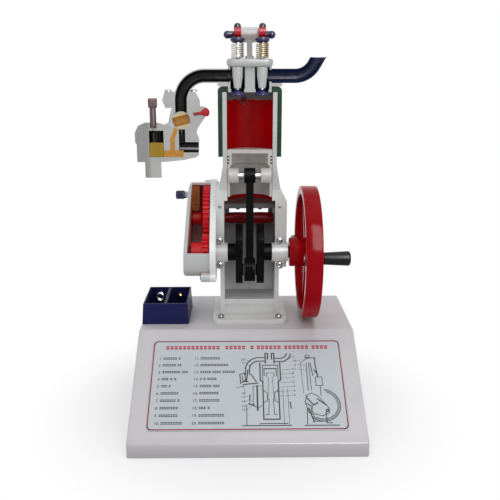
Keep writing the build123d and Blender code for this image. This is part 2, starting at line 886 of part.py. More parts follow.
# Crankshaft: shaft, journals, two webs with counterweights, and the stubs of the crankpin.
web_in = 9.5
web_out = 18.8
journal_r = 11.5
pin_end_r = 18.6
web_hub_r = 17
weight_r = 38.3
weight_half = 30
weight_low = 4
pin_r = 8
pin_stub = 1.4
shaft_left = 80
crank_gear_hub_l = 15
flywheel_seat = 90

with BuildPart() as crankshaft:
    for sign in (-1, 1):
        reach = shaft_left if sign < 0 else flywheel_seat
        with BuildSketch(SIDE.offset(sign * web_out)):
            Circle(shaft_d / 2)
        extrude(amount=sign * (reach - web_out))
        with BuildSketch(SIDE.offset(sign * web_out)):
            Circle(journal_r)
        extrude(amount=sign * (bearing_left_in - slide_gap - web_out))
        with BuildSketch(SIDE.offset(sign * web_in)):
            Circle(web_hub_r)
            with Locations((0, -throw)):
                Circle(pin_end_r)
            with BuildLine():
                Polyline(
                    (-web_hub_r, 0),
                    (-pin_end_r, -throw),
                    (pin_end_r, -throw),
                    (web_hub_r, 0),
                    close=True,
                )
            make_face()
            with BuildLine():
                Polyline(
                    (-web_hub_r, -weight_low),
                    (-weight_half, web_hub_r),
                    (-weight_half, math.sqrt(weight_r ** 2 - weight_half ** 2)),
                )
                RadiusArc(
                    (-weight_half, math.sqrt(weight_r ** 2 - weight_half ** 2)),
                    (weight_half, math.sqrt(weight_r ** 2 - weight_half ** 2)),
                    weight_r,
                )
                Polyline(
                    (weight_half, math.sqrt(weight_r ** 2 - weight_half ** 2)),
                    (weight_half, web_hub_r),
                    (web_hub_r, -weight_low),
                    (-web_hub_r, -weight_low),
                )
            make_face()
        extrude(amount=sign * (web_out - web_in))
        with BuildSketch(SIDE.offset(sign * web_in)):
            with Locations((0, -throw)):
                Circle(pin_r)
        extrude(amount=-sign * pin_stub)
finish(crankshaft.part, "crankshaft")

with BuildPart() as crank_gear:
    with BuildSketch(SIDE.offset(gear_from)):
        Polygon(*gear_points(crank_teeth, cam_bearing_deg), align=None)
    extrude(amount=gear_w)
    with BuildSketch(SIDE.offset(gear_from - crank_gear_hub_l)):
        Circle(gear_hub_r)
    extrude(amount=crank_gear_hub_l)
    with BuildSketch(SIDE.offset(gear_from - crank_gear_hub_l)):
        Circle(shaft_d / 2 + seat_gap)
    extrude(amount=crank_gear_hub_l + gear_w, mode=Mode.SUBTRACT)
finish(crank_gear.part, "crank_gear")

# Camshaft with its two cams, the cam gear and the small cam that works the interrupter.
cam_nose_r = 4
cam_w = 11
drum_r = 7.7
drum_left = 28
drum_right = 31
inlet_lobe_deg = 150
exhaust_lobe_deg = 250
cam_shaft_left = 80
cam_web_t = 4
cam_rim = 6.5
breaker_cam_r = 9
breaker_nose_r = 3
breaker_reach = 10.2
breaker_cam_w = 12
breaker_cam_from = -78.5
cam_slot_r = 7
cam_slots = 5

with BuildPart() as camshaft:
    with BuildSketch(SIDE.offset(-cam_shaft_left)):
        with Locations((cam_y, cam_z)):
            Circle(cam_shaft_r)
    extrude(amount=cam_shaft_left + window_half + case_wall - slide_gap)
    with BuildSketch(SIDE.offset(-drum_left)):
        with Locations((cam_y, cam_z)):
            Circle(drum_r)
    extrude(amount=drum_left + drum_right)
    for sign, lobe_deg in ((-1, inlet_lobe_deg), (1, exhaust_lobe_deg)):
        out = lobe_r - cam_nose_r
        lobe_y = cam_y + out * math.cos(math.radians(lobe_deg))
        lobe_z = cam_z + out * math.sin(math.radians(lobe_deg))
        with BuildSketch(SIDE.offset(sign * valve_x - cam_w / 2)):
            with Locations((cam_y, cam_z)):
                Circle(cam_base_r)
            with Locations((lobe_y, lobe_z)):
                Circle(cam_nose_r)
            make_hull()
        extrude(amount=cam_w)
finish(camshaft.part, "camshaft")

cam_pitch_r = gear_module * cam_teeth / 2
cam_rim_in = cam_pitch_r - dedendum_share * gear_module - cam_rim
with BuildPart() as cam_gear:
    cam_turn = cam_bearing_deg + 180 + 180 / cam_teeth
    with BuildSketch(SIDE.offset(gear_from)):
        with Locations((cam_y, cam_z)):
            Polygon(*gear_points(cam_teeth, cam_turn), align=None)
    extrude(amount=gear_w)
    for face_at, way in ((gear_from, 1), (gear_from + gear_w, -1)):
        with BuildSketch(SIDE.offset(face_at)):
            with Locations((cam_y, cam_z)):
                Circle(cam_rim_in)
                Circle(gear_hub_r, mode=Mode.SUBTRACT)
        extrude(amount=way * (gear_w - cam_web_t) / 2, mode=Mode.SUBTRACT)
    with BuildSketch(SIDE.offset(gear_from)):
        with Locations((cam_y, cam_z)):
            with PolarLocations((cam_rim_in + gear_hub_r) / 2, cam_slots):
                Circle(cam_slot_r)
            Circle(cam_shaft_r + seat_gap)
    extrude(amount=gear_w, mode=Mode.SUBTRACT)
finish(cam_gear.part, "cam_gear")

with BuildPart() as breaker_cam:
    with BuildSketch(SIDE.offset(breaker_cam_from)):
        with Locations((cam_y, cam_z)):
            Circle(breaker_cam_r)
        with Locations((cam_y, cam_z - breaker_reach + breaker_nose_r)):
            Circle(breaker_nose_r)
        make_hull()
        with Locations((cam_y, cam_z)):
            Circle(cam_shaft_r + seat_gap, mode=Mode.SUBTRACT)
    extrude(amount=breaker_cam_w)
finish(breaker_cam.part, "breaker_cam")

# Interrupter sizes: insulating block on the cover, terminal through it, and the breaker arm.
block_w = 13.5
block_low = 53.4
block_high = 78
block_front = 48
block_back = 58
terminal_z = 69
terminal_y = 53
terminal_r = 2
collar_r = 4
collar_w = 3
terminal_knob_r = 5.9
terminal_knob_w = 12
knurls = 16
knurl_r = 0.7
contact_r = 2
contact_h = 1.5
arm_w = 5
arm_t = 3.2
arm_top = 50.7
arm_tip_y = 54
pivot_y = 80
pivot_z = 54
pivot_r = 2
arm_hub_r = 4.5
heel_r = 1.6
heel_y = 57.5

# Gear case: an egg-shaped plate on the crankcase and a deep cover, cut away at the front.
plate_t = 8
cover_out = 86.5
cover_wall = 3
cover_face_t = 4.5
cover_edge_r = 4
cut_low = 5.5
cut_back = 4
lug_r = 6.5
lug_t = 11
big_r = case_big_r
small_r = case_small_r
cover_from = -case_left - plate_t
lug_low_deg = 230
lug_under_deg = -70
lug_back_deg = 50
lug_spots = []
for mid_y, mid_z, mid_r, lug_deg in (
    (0, 0, small_r, lug_low_deg),
    (cam_y, cam_z, big_r, lug_under_deg),
    (cam_y, cam_z, big_r, lug_back_deg),
):
    lug_y = mid_y + (mid_r + head_r + slide_gap) * math.cos(math.radians(lug_deg))
    lug_z = mid_z + (mid_r + head_r + slide_gap) * math.sin(math.radians(lug_deg))
    lug_spots.append((lug_y, lug_z))

with BuildPart() as gearcase_plate:
    with BuildSketch(SIDE.offset(cover_from)):
        with Locations((cam_y, cam_z)):
            Circle(big_r + plate_lip)
        Circle(small_r + plate_lip)
        make_hull()
        with Locations(*lug_spots):
            Circle(lug_r)
        with Locations(*lug_spots):
            Circle(hole_r, mode=Mode.SUBTRACT)
        Circle(bearing_r + slide_gap, mode=Mode.SUBTRACT)
        with Locations((cam_y, cam_z)):
            Circle(cam_shaft_r + slide_gap, mode=Mode.SUBTRACT)
    extrude(amount=plate_t)
finish(gearcase_plate.part, "gearcase_plate")

with BuildPart() as gearcase_cover:
    with BuildSketch(SIDE.offset(-cover_out)):
        with Locations((cam_y, cam_z)):
            Circle(big_r)
        Circle(small_r)
        make_hull()
    extrude(amount=cover_out + cover_from)
    fillet(gearcase_cover.edges().group_by(Axis.X)[0], radius=cover_edge_r)
    with BuildSketch(SIDE.offset(cover_from)):
        with Locations(*lug_spots):
            Circle(lug_r)
    extrude(amount=-lug_t)
    with BuildSketch(SIDE.offset(cover_from)):
        with Locations((cam_y, cam_z)):
            Circle(big_r - cover_wall)
        Circle(small_r - cover_wall)
        make_hull()
    extrude(amount=-cover_out - cover_from + cover_face_t, mode=Mode.SUBTRACT)
    with BuildSketch(SIDE.offset(cover_from)):
        with Locations(*lug_spots):
            Circle(hole_r)
    extrude(amount=-lug_t, mode=Mode.SUBTRACT)
    # the breaker arm's pin stands on the inside of the face, and the terminal goes through it
    with BuildSketch(SIDE.offset(cover_face_t - cover_out)):
        with Locations((pivot_y, pivot_z)):
            Circle(pivot_r)
    extrude(amount=block_w / 2 + arm_w / 2)
    with BuildSketch(SIDE.offset(-cover_out)):
        with Locations((terminal_y, terminal_z)):
            Circle(terminal_r + seat_gap)
    extrude(amount=cover_face_t, mode=Mode.SUBTRACT)
    # the cut-away: everything of the wall in front of the big end's top
    with BuildSketch(SIDE.offset(cover_from)):
        with Locations(((cam_y - cut_back - small_r - lug_r) / 2, (cut_low + cam_z + big_r + overrun) / 2)):
            Rectangle(cam_y - cut_back + small_r + lug_r, cam_z + big_r + overrun - cut_low)
    extrude(amount=-cover_out - cover_from + cover_face_t, mode=Mode.SUBTRACT)
finish(gearcase_cover.part, "gearcase_cover")

lug_side = Plane(
    origin=SIDE.offset(cover_from - lug_t).origin,
    x_dir=(0, 1, 0),
    z_dir=(-1, 0, 0),
)
gearcase_screws = pan_screws(
    lug_side,
    [(y, -z) for y, z in lug_spots],
    head_r,
    head_h,
    shank_r,
    lug_t + plate_t,
)
finish(gearcase_screws, "gearcase_screws")

# Interrupter: the block, the terminal with the fixed contact, and the arm that the cam works.
wall_in = cover_face_t - cover_out
block_x = wall_in + block_w
contact_x = wall_in + block_w / 2

with BuildPart() as insulator_block:
    with BuildSketch(SIDE.offset(wall_in)):
        with Locations(((block_front + block_back) / 2, (block_low + block_high) / 2)):
            Rectangle(block_back - block_front, block_high - block_low)
        with Locations((terminal_y, terminal_z)):
            Circle(terminal_r + seat_gap, mode=Mode.SUBTRACT)
    extrude(amount=block_w)
finish(insulator_block.part, "insulator_block")

with BuildPart() as terminal:
    with BuildSketch(SIDE.offset(-cover_out - collar_w - terminal_knob_w / 2)):
        with Locations((terminal_y, terminal_z)):
            Circle(terminal_r)
    extrude(amount=cover_out + collar_w + terminal_knob_w / 2 + block_x)
    with BuildSketch(SIDE.offset(-cover_out - collar_w)):
        with Locations((terminal_y, terminal_z)):
            Circle(collar_r)
    extrude(amount=collar_w)
    with BuildSketch(LEVEL.offset(block_low - contact_h)):
        with Locations((contact_x, (block_front + block_back) / 2 + contact_r)):
            Circle(contact_r)
    extrude(amount=contact_h)
finish(terminal.part, "terminal")

with BuildPart() as terminal_knob:
    with BuildSketch(SIDE.offset(-cover_out - collar_w)):
        with Locations((terminal_y, terminal_z)):
            Circle(terminal_knob_r)
    extrude(amount=-terminal_knob_w)
    fillet(terminal_knob.edges().group_by(Axis.X)[0], radius=2 * knurl_r)
    with BuildSketch(SIDE.offset(-cover_out - collar_w)):
        with Locations((terminal_y, terminal_z)):
            with PolarLocations(terminal_knob_r, knurls):
                Circle(knurl_r)
    extrude(amount=-terminal_knob_w, mode=Mode.SUBTRACT)
    with BuildSketch(SIDE.offset(-cover_out - collar_w)):
        with Locations((terminal_y, terminal_z)):
            Circle(terminal_r + run_gap)
    extrude(amount=-terminal_knob_w / 2 - slide_gap, mode=Mode.SUBTRACT)
finish(terminal_knob.part, "terminal_knob")

with BuildPart() as breaker_arm:
    with BuildSketch(SIDE.offset(contact_x - arm_w / 2)):
        with BuildLine():
            Polyline(
                (arm_tip_y, arm_top - arm_t),
                (arm_tip_y, arm_top),
                (pivot_y, pivot_z + arm_t / 2),
                (pivot_y, pivot_z - arm_t / 2),
                close=True,
            )
        make_face()
        with Locations((heel_y, arm_top - arm_t + heel_r / 2)):
            Circle(heel_r)
        with Locations((pivot_y, pivot_z)):
            Circle(arm_hub_r)
            Circle(pivot_r + run_gap, mode=Mode.SUBTRACT)
    extrude(amount=arm_w)
finish(breaker_arm.part, "breaker_arm")

# Connecting rod, piston pin and piston. The piston stands at the bottom of its stroke.
pin_z = rod_length - throw
big_end_r = 16
big_end_bore_r = 9.5
big_half = 7.25
small_end_r = 9.9
gudgeon_r = 4.25
shank_half = 4.9
shank_top_w = 12
shank_low_w = 19
web_pocket = 2.6
pocket_rim = 2.6
cap_bolt_r = 2.2
cap_bolt_y = 12.6
cap_bolt_half = 7.5

with BuildPart() as connecting_rod:
    with BuildSketch(SIDE.offset(-big_half)):
        with Locations((0, -throw)):
            Circle(big_end_r)
        with Locations((0, pin_z)):
            Circle(small_end_r)
    extrude(amount=2 * big_half)
    with BuildSketch(SIDE.offset(-shank_half)):
        with BuildLine():
            Polyline(
                (-shank_low_w / 2, -throw),
                (-shank_top_w / 2, pin_z),
                (shank_top_w / 2, pin_z),
                (shank_low_w / 2, -throw),
                close=True,
            )
        make_face()
    extrude(amount=2 * shank_half)
    for face_x, way in ((-shank_half, 1), (shank_half, -1)):
        with BuildSketch(SIDE.offset(face_x)):
            with BuildLine():
                Polyline(
                    (-shank_low_w / 2 + pocket_rim, big_end_r - throw + pocket_rim),
                    (-shank_top_w / 2 + pocket_rim, pin_z - small_end_r - pocket_rim),
                    (shank_top_w / 2 - pocket_rim, pin_z - small_end_r - pocket_rim),
                    (shank_low_w / 2 - pocket_rim, big_end_r - throw + pocket_rim),
                    close=True,
                )
            make_face()
        extrude(amount=way * web_pocket, mode=Mode.SUBTRACT)
    # bosses of the two bolts that close the big end
    with BuildSketch(LEVEL.offset(-throw - cap_bolt_half)):
        with Locations((0, -cap_bolt_y), (0, cap_bolt_y)):
            Circle(cap_bolt_r * 2)
    extrude(amount=2 * cap_bolt_half)
    with BuildSketch(SIDE.offset(-big_half)):
        with Locations((0, -throw)):
            Circle(big_end_bore_r)
        with Locations((0, pin_z)):
            Circle(gudgeon_r + run_gap)
    extrude(amount=2 * big_half, mode=Mode.SUBTRACT)
finish(connecting_rod.part, "connecting_rod")

piston_gap = 0.4
crown_z = 136.4
skirt_z = 74.9
crown_t = 5
skirt_t = 3
belt_t = 5.5
belt_low = 117
boss_face = 14.6
boss_r = 9.9
ring_h = 1.9
ring_spots = (126.2, 122, 117.9)
ring_deep = 2.6
ring_play = 0.05
piston_r = bore_d / 2 - piston_gap
pin_half = piston_r - skirt_t - seat_gap

with BuildPart() as piston:
    with BuildSketch(SECTION):
        with BuildLine():
            Polyline(
                (0, crown_z),
                (piston_r, crown_z),
                (piston_r, skirt_z),
                (piston_r - skirt_t, skirt_z),
                (piston_r - skirt_t, belt_low - belt_t + skirt_t),
                (piston_r - belt_t, belt_low),
                (piston_r - belt_t, crown_z - crown_t),
                (0, crown_z - crown_t),
                close=True,
            )
        make_face()
    revolve(axis=Axis(crank_at, (0, 0, 1)), revolution_arc=180)
    # pin bosses, whole, on both sides of the rod
    for sign in (-1, 1):
        with BuildSketch(SIDE.offset(sign * boss_face)):
            with Locations((0, pin_z)):
                Circle(boss_r)
        extrude(amount=sign * (piston_r - skirt_t / 2 - boss_face))
    with BuildSketch(LEVEL.offset(skirt_z)):
        Circle(bore_d)
        Circle(piston_r, mode=Mode.SUBTRACT)
    extrude(amount=crown_z - skirt_z, mode=Mode.SUBTRACT)
    with BuildSketch(SIDE.offset(-pin_half)):
        with Locations((0, pin_z)):
            Circle(gudgeon_r + seat_gap)
    extrude(amount=2 * pin_half, mode=Mode.SUBTRACT)
    for spot in ring_spots:
        with BuildSketch(LEVEL.offset(spot)):
            Circle(bore_d)
            Circle(piston_r - ring_deep, mode=Mode.SUBTRACT)
        extrude(amount=ring_h, mode=Mode.SUBTRACT)
finish(piston.part, "piston")

with BuildPart() as gudgeon_pin:
    with BuildSketch(SIDE.offset(-pin_half)):
        with Locations((0, pin_z)):
            Circle(gudgeon_r)
    extrude(amount=2 * pin_half)
finish(gudgeon_pin.part, "gudgeon_pin")

with BuildPart() as piston_rings:
    for spot in ring_spots:
        with BuildSketch(LEVEL.offset(spot + ring_play)):
            Circle(bore_d / 2 - piston_gap / 2)
            Circle(piston_r - ring_deep + ring_play, mode=Mode.SUBTRACT)
        extrude(amount=ring_h - 2 * ring_play)
    split(bisect_by=SECTION, keep=Keep.BOTTOM)
finish(piston_rings.part, "piston_rings")

# Flywheel: rim, hub and six tapered spokes, with a boss for the handle near the front.
wheel_left = 67.3
wheel_w = 20.9
rim_t = 11
rim_edge_r = 1.5
hub_r = 19.5
hub_left = 52.6
hub_right = 86
spoke_root_w = 16
spoke_tip_w = 12
spoke_t = 8
spokes = 6
handle_r = 68
handle_deg = 173
handle_boss_r = 8.5
spindle_r = 3
wheel_r = flywheel_d / 2
wheel_mid = wheel_left + wheel_w / 2
spoke_from = wheel_mid - spoke_t / 2
handle_y = handle_r * math.cos(math.radians(handle_deg))
handle_z = handle_r * math.sin(math.radians(handle_deg))
set_screw_r = 2.4
set_screw_x = 57.9
set_screw_up = 3.2
set_screw_in = 9

with BuildPart() as flywheel:
    with BuildSketch(SIDE.offset(wheel_left)):
        Circle(wheel_r)
        Circle(wheel_r - rim_t, mode=Mode.SUBTRACT)
    extrude(amount=wheel_w)
    fillet(flywheel.edges().filter_by(GeomType.CIRCLE), radius=rim_edge_r)
    with BuildSketch(SIDE.offset(spoke_from)):
        with PolarLocations(0, spokes, start_angle=handle_deg):
            Polygon(
                (0, -spoke_root_w / 2),
                (wheel_r - rim_t / 2, -spoke_tip_w / 2),
                (wheel_r - rim_t / 2, spoke_tip_w / 2),
                (0, spoke_root_w / 2),
                align=None,
            )
    extrude(amount=spoke_t)
    with BuildSketch(SIDE.offset(wheel_left)):
        with Locations((handle_y, handle_z)):
            Circle(handle_boss_r)
    extrude(amount=wheel_w)
    with BuildSketch(SIDE.offset(hub_left)):
        Circle(hub_r)
    extrude(amount=hub_right - hub_left)
    with BuildSketch(SIDE.offset(hub_left)):
        Circle(shaft_d / 2 + seat_gap)
        with Locations((handle_y, handle_z)):
            Circle(spindle_r + seat_gap)
    extrude(amount=wheel_left + wheel_w - hub_left + overrun, mode=Mode.SUBTRACT)
    with BuildSketch(LEVEL.offset(hub_r - set_screw_in)):
        with Locations((set_screw_x, 0)):
            Circle(set_screw_r + seat_gap)
    extrude(amount=set_screw_in, mode=Mode.SUBTRACT)
finish(flywheel.part, "flywheel")

with BuildPart() as hub_screw:
    with BuildSketch(LEVEL.offset(hub_r - set_screw_in)):
        with Locations((set_screw_x, 0)):
            Circle(set_screw_r)
    extrude(amount=set_screw_in + set_screw_up)
    with BuildSketch(LEVEL.offset(hub_r + set_screw_up)):
        with Locations((set_screw_x, 0)):
            RegularPolygon(set_screw_r / 2, 6)
    extrude(amount=-set_screw_up, mode=Mode.SUBTRACT)
finish(hub_screw.part, "hub_screw")

# Handle: a spindle riveted through the boss, with a grip that turns on it.
grip_gap = 1.2
grip_l = 34
grip_in_r = 7.6
grip_out_r = 9.3
grip_round_r = 3
spindle_head_r = 5
spindle_head_h = 1.6
wheel_right = wheel_left + wheel_w
grip_from = wheel_right + grip_gap
HANDLE = Plane(
    origin=SIDE.from_local_coords((handle_y, handle_z, 0)),
    x_dir=(0, 1, 0),
    z_dir=(1, 0, 0),
)

with BuildPart() as handle_spindle:
    with BuildSketch(HANDLE.offset(wheel_left - spindle_head_h)):
        Circle(spindle_head_r)
    extrude(amount=spindle_head_h)
    with BuildSketch(HANDLE.offset(wheel_left)):
        Circle(spindle_r)
    extrude(amount=wheel_w + grip_gap + grip_l - grip_round_r)
    with BuildSketch(HANDLE.offset(wheel_right)):
        Circle(spindle_head_r)
    extrude(amount=grip_gap - slide_gap)
finish(handle_spindle.part, "handle_spindle")

with BuildPart() as handle_grip:
    with BuildSketch(HANDLE.offset(grip_from)):
        Circle(grip_in_r)
    with BuildSketch(HANDLE.offset(grip_from + grip_l)):
        Circle(grip_out_r)
    loft()
    fillet(handle_grip.edges().group_by(Axis.X)[-1], radius=grip_round_r)
    fillet(handle_grip.edges().group_by(Axis.X)[0], radius=grip_round_r / 3)
    with BuildSketch(HANDLE.offset(grip_from)):
        Circle(spindle_r + run_gap)
    extrude(amount=grip_l - grip_round_r + slide_gap, mode=Mode.SUBTRACT)
finish(handle_grip.part, "handle_grip")

# Inlet and exhaust pipes: half bent tubes. The inlet one ends in half a flange on the carburettor.
carb_right = -55
carb_w = carb_right + carb_reach
pipe_x_share = 0.6476       # places across the carburettor, as shares of its width from the left
carb_x = pipe_x_share * carb_w - carb_reach
pipe_bend_r = 30.5
pipe_foot = 198.8
tickler_x_share = 0.2583
tickler_x = tickler_x_share * carb_w - carb_reach
tickler_neck = 189.3
tickler_head_r = 5.8
tickler_press = 2.5
manifold_h = 10.6
ear_l = 47.4
manifold_back = 12
flange_bolt_x = 16.4
manifold_edge_r = 4.5
pipe_start = port_block_r + seat_gap
carb_bolt_spots = (
    (carb_x - flange_bolt_x, manifold_back / 2),
    (carb_x + flange_bolt_x, manifold_back / 2),
)
tail_bend_r = 27
tail_bend_x = 57
tail_bend_deg = 60
tail_top = 251.4
tail_run = 25
pipe_bend_x = carb_x + pipe_bend_r
tail_sin = math.sin(math.radians(tail_bend_deg))
tail_cos = math.cos(math.radians(tail_bend_deg))
tail_end_x = tail_bend_x + tail_bend_r * tail_sin
tail_end_z = runner_z + tail_bend_r * (1 - tail_cos)

with BuildLine() as inlet_route:
    Line(
        LEVEL.from_local_coords((-pipe_start, 0, runner_z)),
        LEVEL.from_local_coords((pipe_bend_x, 0, runner_z)),
    )
    TangentArc(
        LEVEL.from_local_coords((pipe_bend_x, 0, runner_z)),
        LEVEL.from_local_coords((carb_x, 0, runner_z - pipe_bend_r)),
        tangent=(-1, 0, 0),
    )

with BuildPart() as inlet_pipe:
    with BuildSketch(SIDE.offset(-pipe_start)):
        with Locations((0, runner_z)):
            Circle(pipe_r)
    sweep(path=inlet_route.line)
    with BuildSketch(LEVEL.offset(pipe_foot)):
        with Locations((carb_x, 0)):
            RectangleRounded(ear_l, 2 * manifold_back, manifold_edge_r)
        with Locations(*carb_bolt_spots):
            Circle(hole_r, mode=Mode.SUBTRACT)
    extrude(amount=manifold_h)
    with BuildSketch(SIDE.offset(-pipe_start)):
        with Locations((0, runner_z)):
            Circle(runner_r)
    sweep(path=inlet_route.line, mode=Mode.SUBTRACT)
    split(bisect_by=SECTION, keep=Keep.BOTTOM)
    split(bisect_by=LEVEL.offset(pipe_foot), keep=Keep.TOP)
    # room for the tickler's head, where the carburettor is made narrower
    with BuildSketch(LEVEL.offset(pipe_foot)):
        with Locations((tickler_x, 0)):
            Circle(tickler_head_r + slide_gap)
    extrude(amount=manifold_h, mode=Mode.SUBTRACT)
finish(inlet_pipe.part, "inlet_pipe")

with BuildLine() as exhaust_route:
    Line(
        LEVEL.from_local_coords((pipe_start, 0, runner_z)),
        LEVEL.from_local_coords((tail_bend_x, 0, runner_z)),
    )
    TangentArc(
        LEVEL.from_local_coords((tail_bend_x, 0, runner_z)),
        LEVEL.from_local_coords((tail_end_x, 0, tail_end_z)),
        tangent=(1, 0, 0),
    )
    Line(
        LEVEL.from_local_coords((tail_end_x, 0, tail_end_z)),
        LEVEL.from_local_coords(
            (tail_end_x + tail_run * tail_cos, 0, tail_end_z + tail_run * tail_sin)
        ),
    )

with BuildPart() as exhaust_pipe:
    with BuildSketch(SIDE.offset(pipe_start)):
        with Locations((0, runner_z)):
            Circle(pipe_r)
            Circle(runner_r, mode=Mode.SUBTRACT)
    sweep(path=exhaust_route.line)
    split(bisect_by=SECTION, keep=Keep.BOTTOM)
    split(bisect_by=LEVEL.offset(tail_top), keep=Keep.BOTTOM)
finish(exhaust_pipe.part, "exhaust_pipe")

# Carburettor body: a half casting whose cut face shows the passages. Its outline is given as
# shares of its width and height, from the float chamber's lower left corner.
carb_low = 120.4
carb_deep = 19
carb_edge_r = 3
barrel_z = 173.4
barrel_r_carb = 11.3
barrel_deep = 12
throttle_bore_r = 6
venturi_x_share = 0.653
venturi_x = venturi_x_share * carb_w - carb_reach
venturi_r = 4
intake_z = 139.4
intake_r = 6.6
intake_end_share = 0.8703
intake_end = intake_end_share * carb_w - carb_reach
chamber_x_share = 0.2951
chamber_x = chamber_x_share * carb_w - carb_reach
chamber_r = 9.3
chamber_low = 126.8
chamber_high = 160.6
tickler_r = 4.1
tickler_hole_low = 163.5
needle_r = 1
needle_hole_r = 1.6
jet_x_share = 0.5189
jet_x = jet_x_share * carb_w - carb_reach
jet_r = 3.2
jet_top = 152
feed_z = 131.2
feed_r = 4.3
feed_to_share = 0.6692
feed_to = feed_to_share * carb_w - carb_reach
carb_flange_h = 9.8
carb_h = pipe_foot - carb_low
carb_outline_shares = (
    (0.02, 0.0),
    (0.02, 0.29),
    (0.0, 0.32),
    (0.0, 0.48),
    (0.046, 0.59),
    (0.13, 0.635),
    (0.30, 0.635),
    (0.405, 0.60),
    (0.47, 0.65),
    (0.50, 0.81),
    (0.53, 0.90),
    (0.90, 0.90),
    (0.985, 0.885),
    (1.0, 0.80),
    (0.973, 0.72),
    (0.913, 0.626),
    (0.86, 0.53),
    (0.849, 0.466),
    (0.881, 0.364),
    (0.876, 0.102),
    (0.838, 0.077),
    (0.665, 0.032),
    (0.384, 0.0),
)
carb_outline = [(-carb_reach + sx * carb_w, carb_low + sz * carb_h) for sx, sz in carb_outline_shares]
# mixture screw: from its tip in the throat to its round head outside
screw_tip_share = 0.8162
screw_head_share = 1.027
screw_tip_z = 181
screw_tip = (screw_tip_share * carb_w - carb_reach, screw_tip_z)
screw_head_x = screw_head_share * carb_w - carb_reach
screw_head_z = 184.2
screw_run = math.hypot(screw_head_x - screw_tip[0], screw_head_z - screw_tip[1])
MIXTURE = Plane(
    origin=SECTION.from_local_coords((screw_tip[0], screw_tip[1], 0)),
    x_dir=(0, 1, 0),
    z_dir=(screw_head_x - screw_tip[0], 0, screw_head_z - screw_tip[1]),
)
# slanted spray passage from the jet to the throttle
spray_r = 2.6
spray_to_share = 0.573
spray_to_z = 166
spray_to = (spray_to_share * carb_w - carb_reach, spray_to_z)
spray_run = math.hypot(spray_to[0] - jet_x, spray_to[1] - jet_top)
SPRAY = Plane(
    origin=SECTION.from_local_coords((jet_x, jet_top - spray_r, 0)),
    x_dir=(0, 1, 0),
    z_dir=(spray_to[0] - jet_x, 0, spray_to[1] - jet_top),
)
mixture_tip_r = 0.8
mixture_needle_r = 2
mixture_r = 5.2
mixture_head_r = 5.7
mixture_bulge_share = 0.62
# places along the screw, as shares of its run from the tip
mixture_cone_from = 0.48 * screw_run
mixture_cone_to = 0.785 * screw_run
mixture_neck_to = 0.886 * screw_run
mixture_bulge_at = 1.0 * screw_run
mixture_end = 1.053 * screw_run
MIXTURE_HALF = Plane(origin=MIXTURE.origin, x_dir=MIXTURE.z_dir, z_dir=(0, -1, 0))
stem_foot = 100
stem_out_r = 10.5
stem_x_carb_share = 0.2411
stem_x_carb = stem_x_carb_share * carb_w - carb_reach

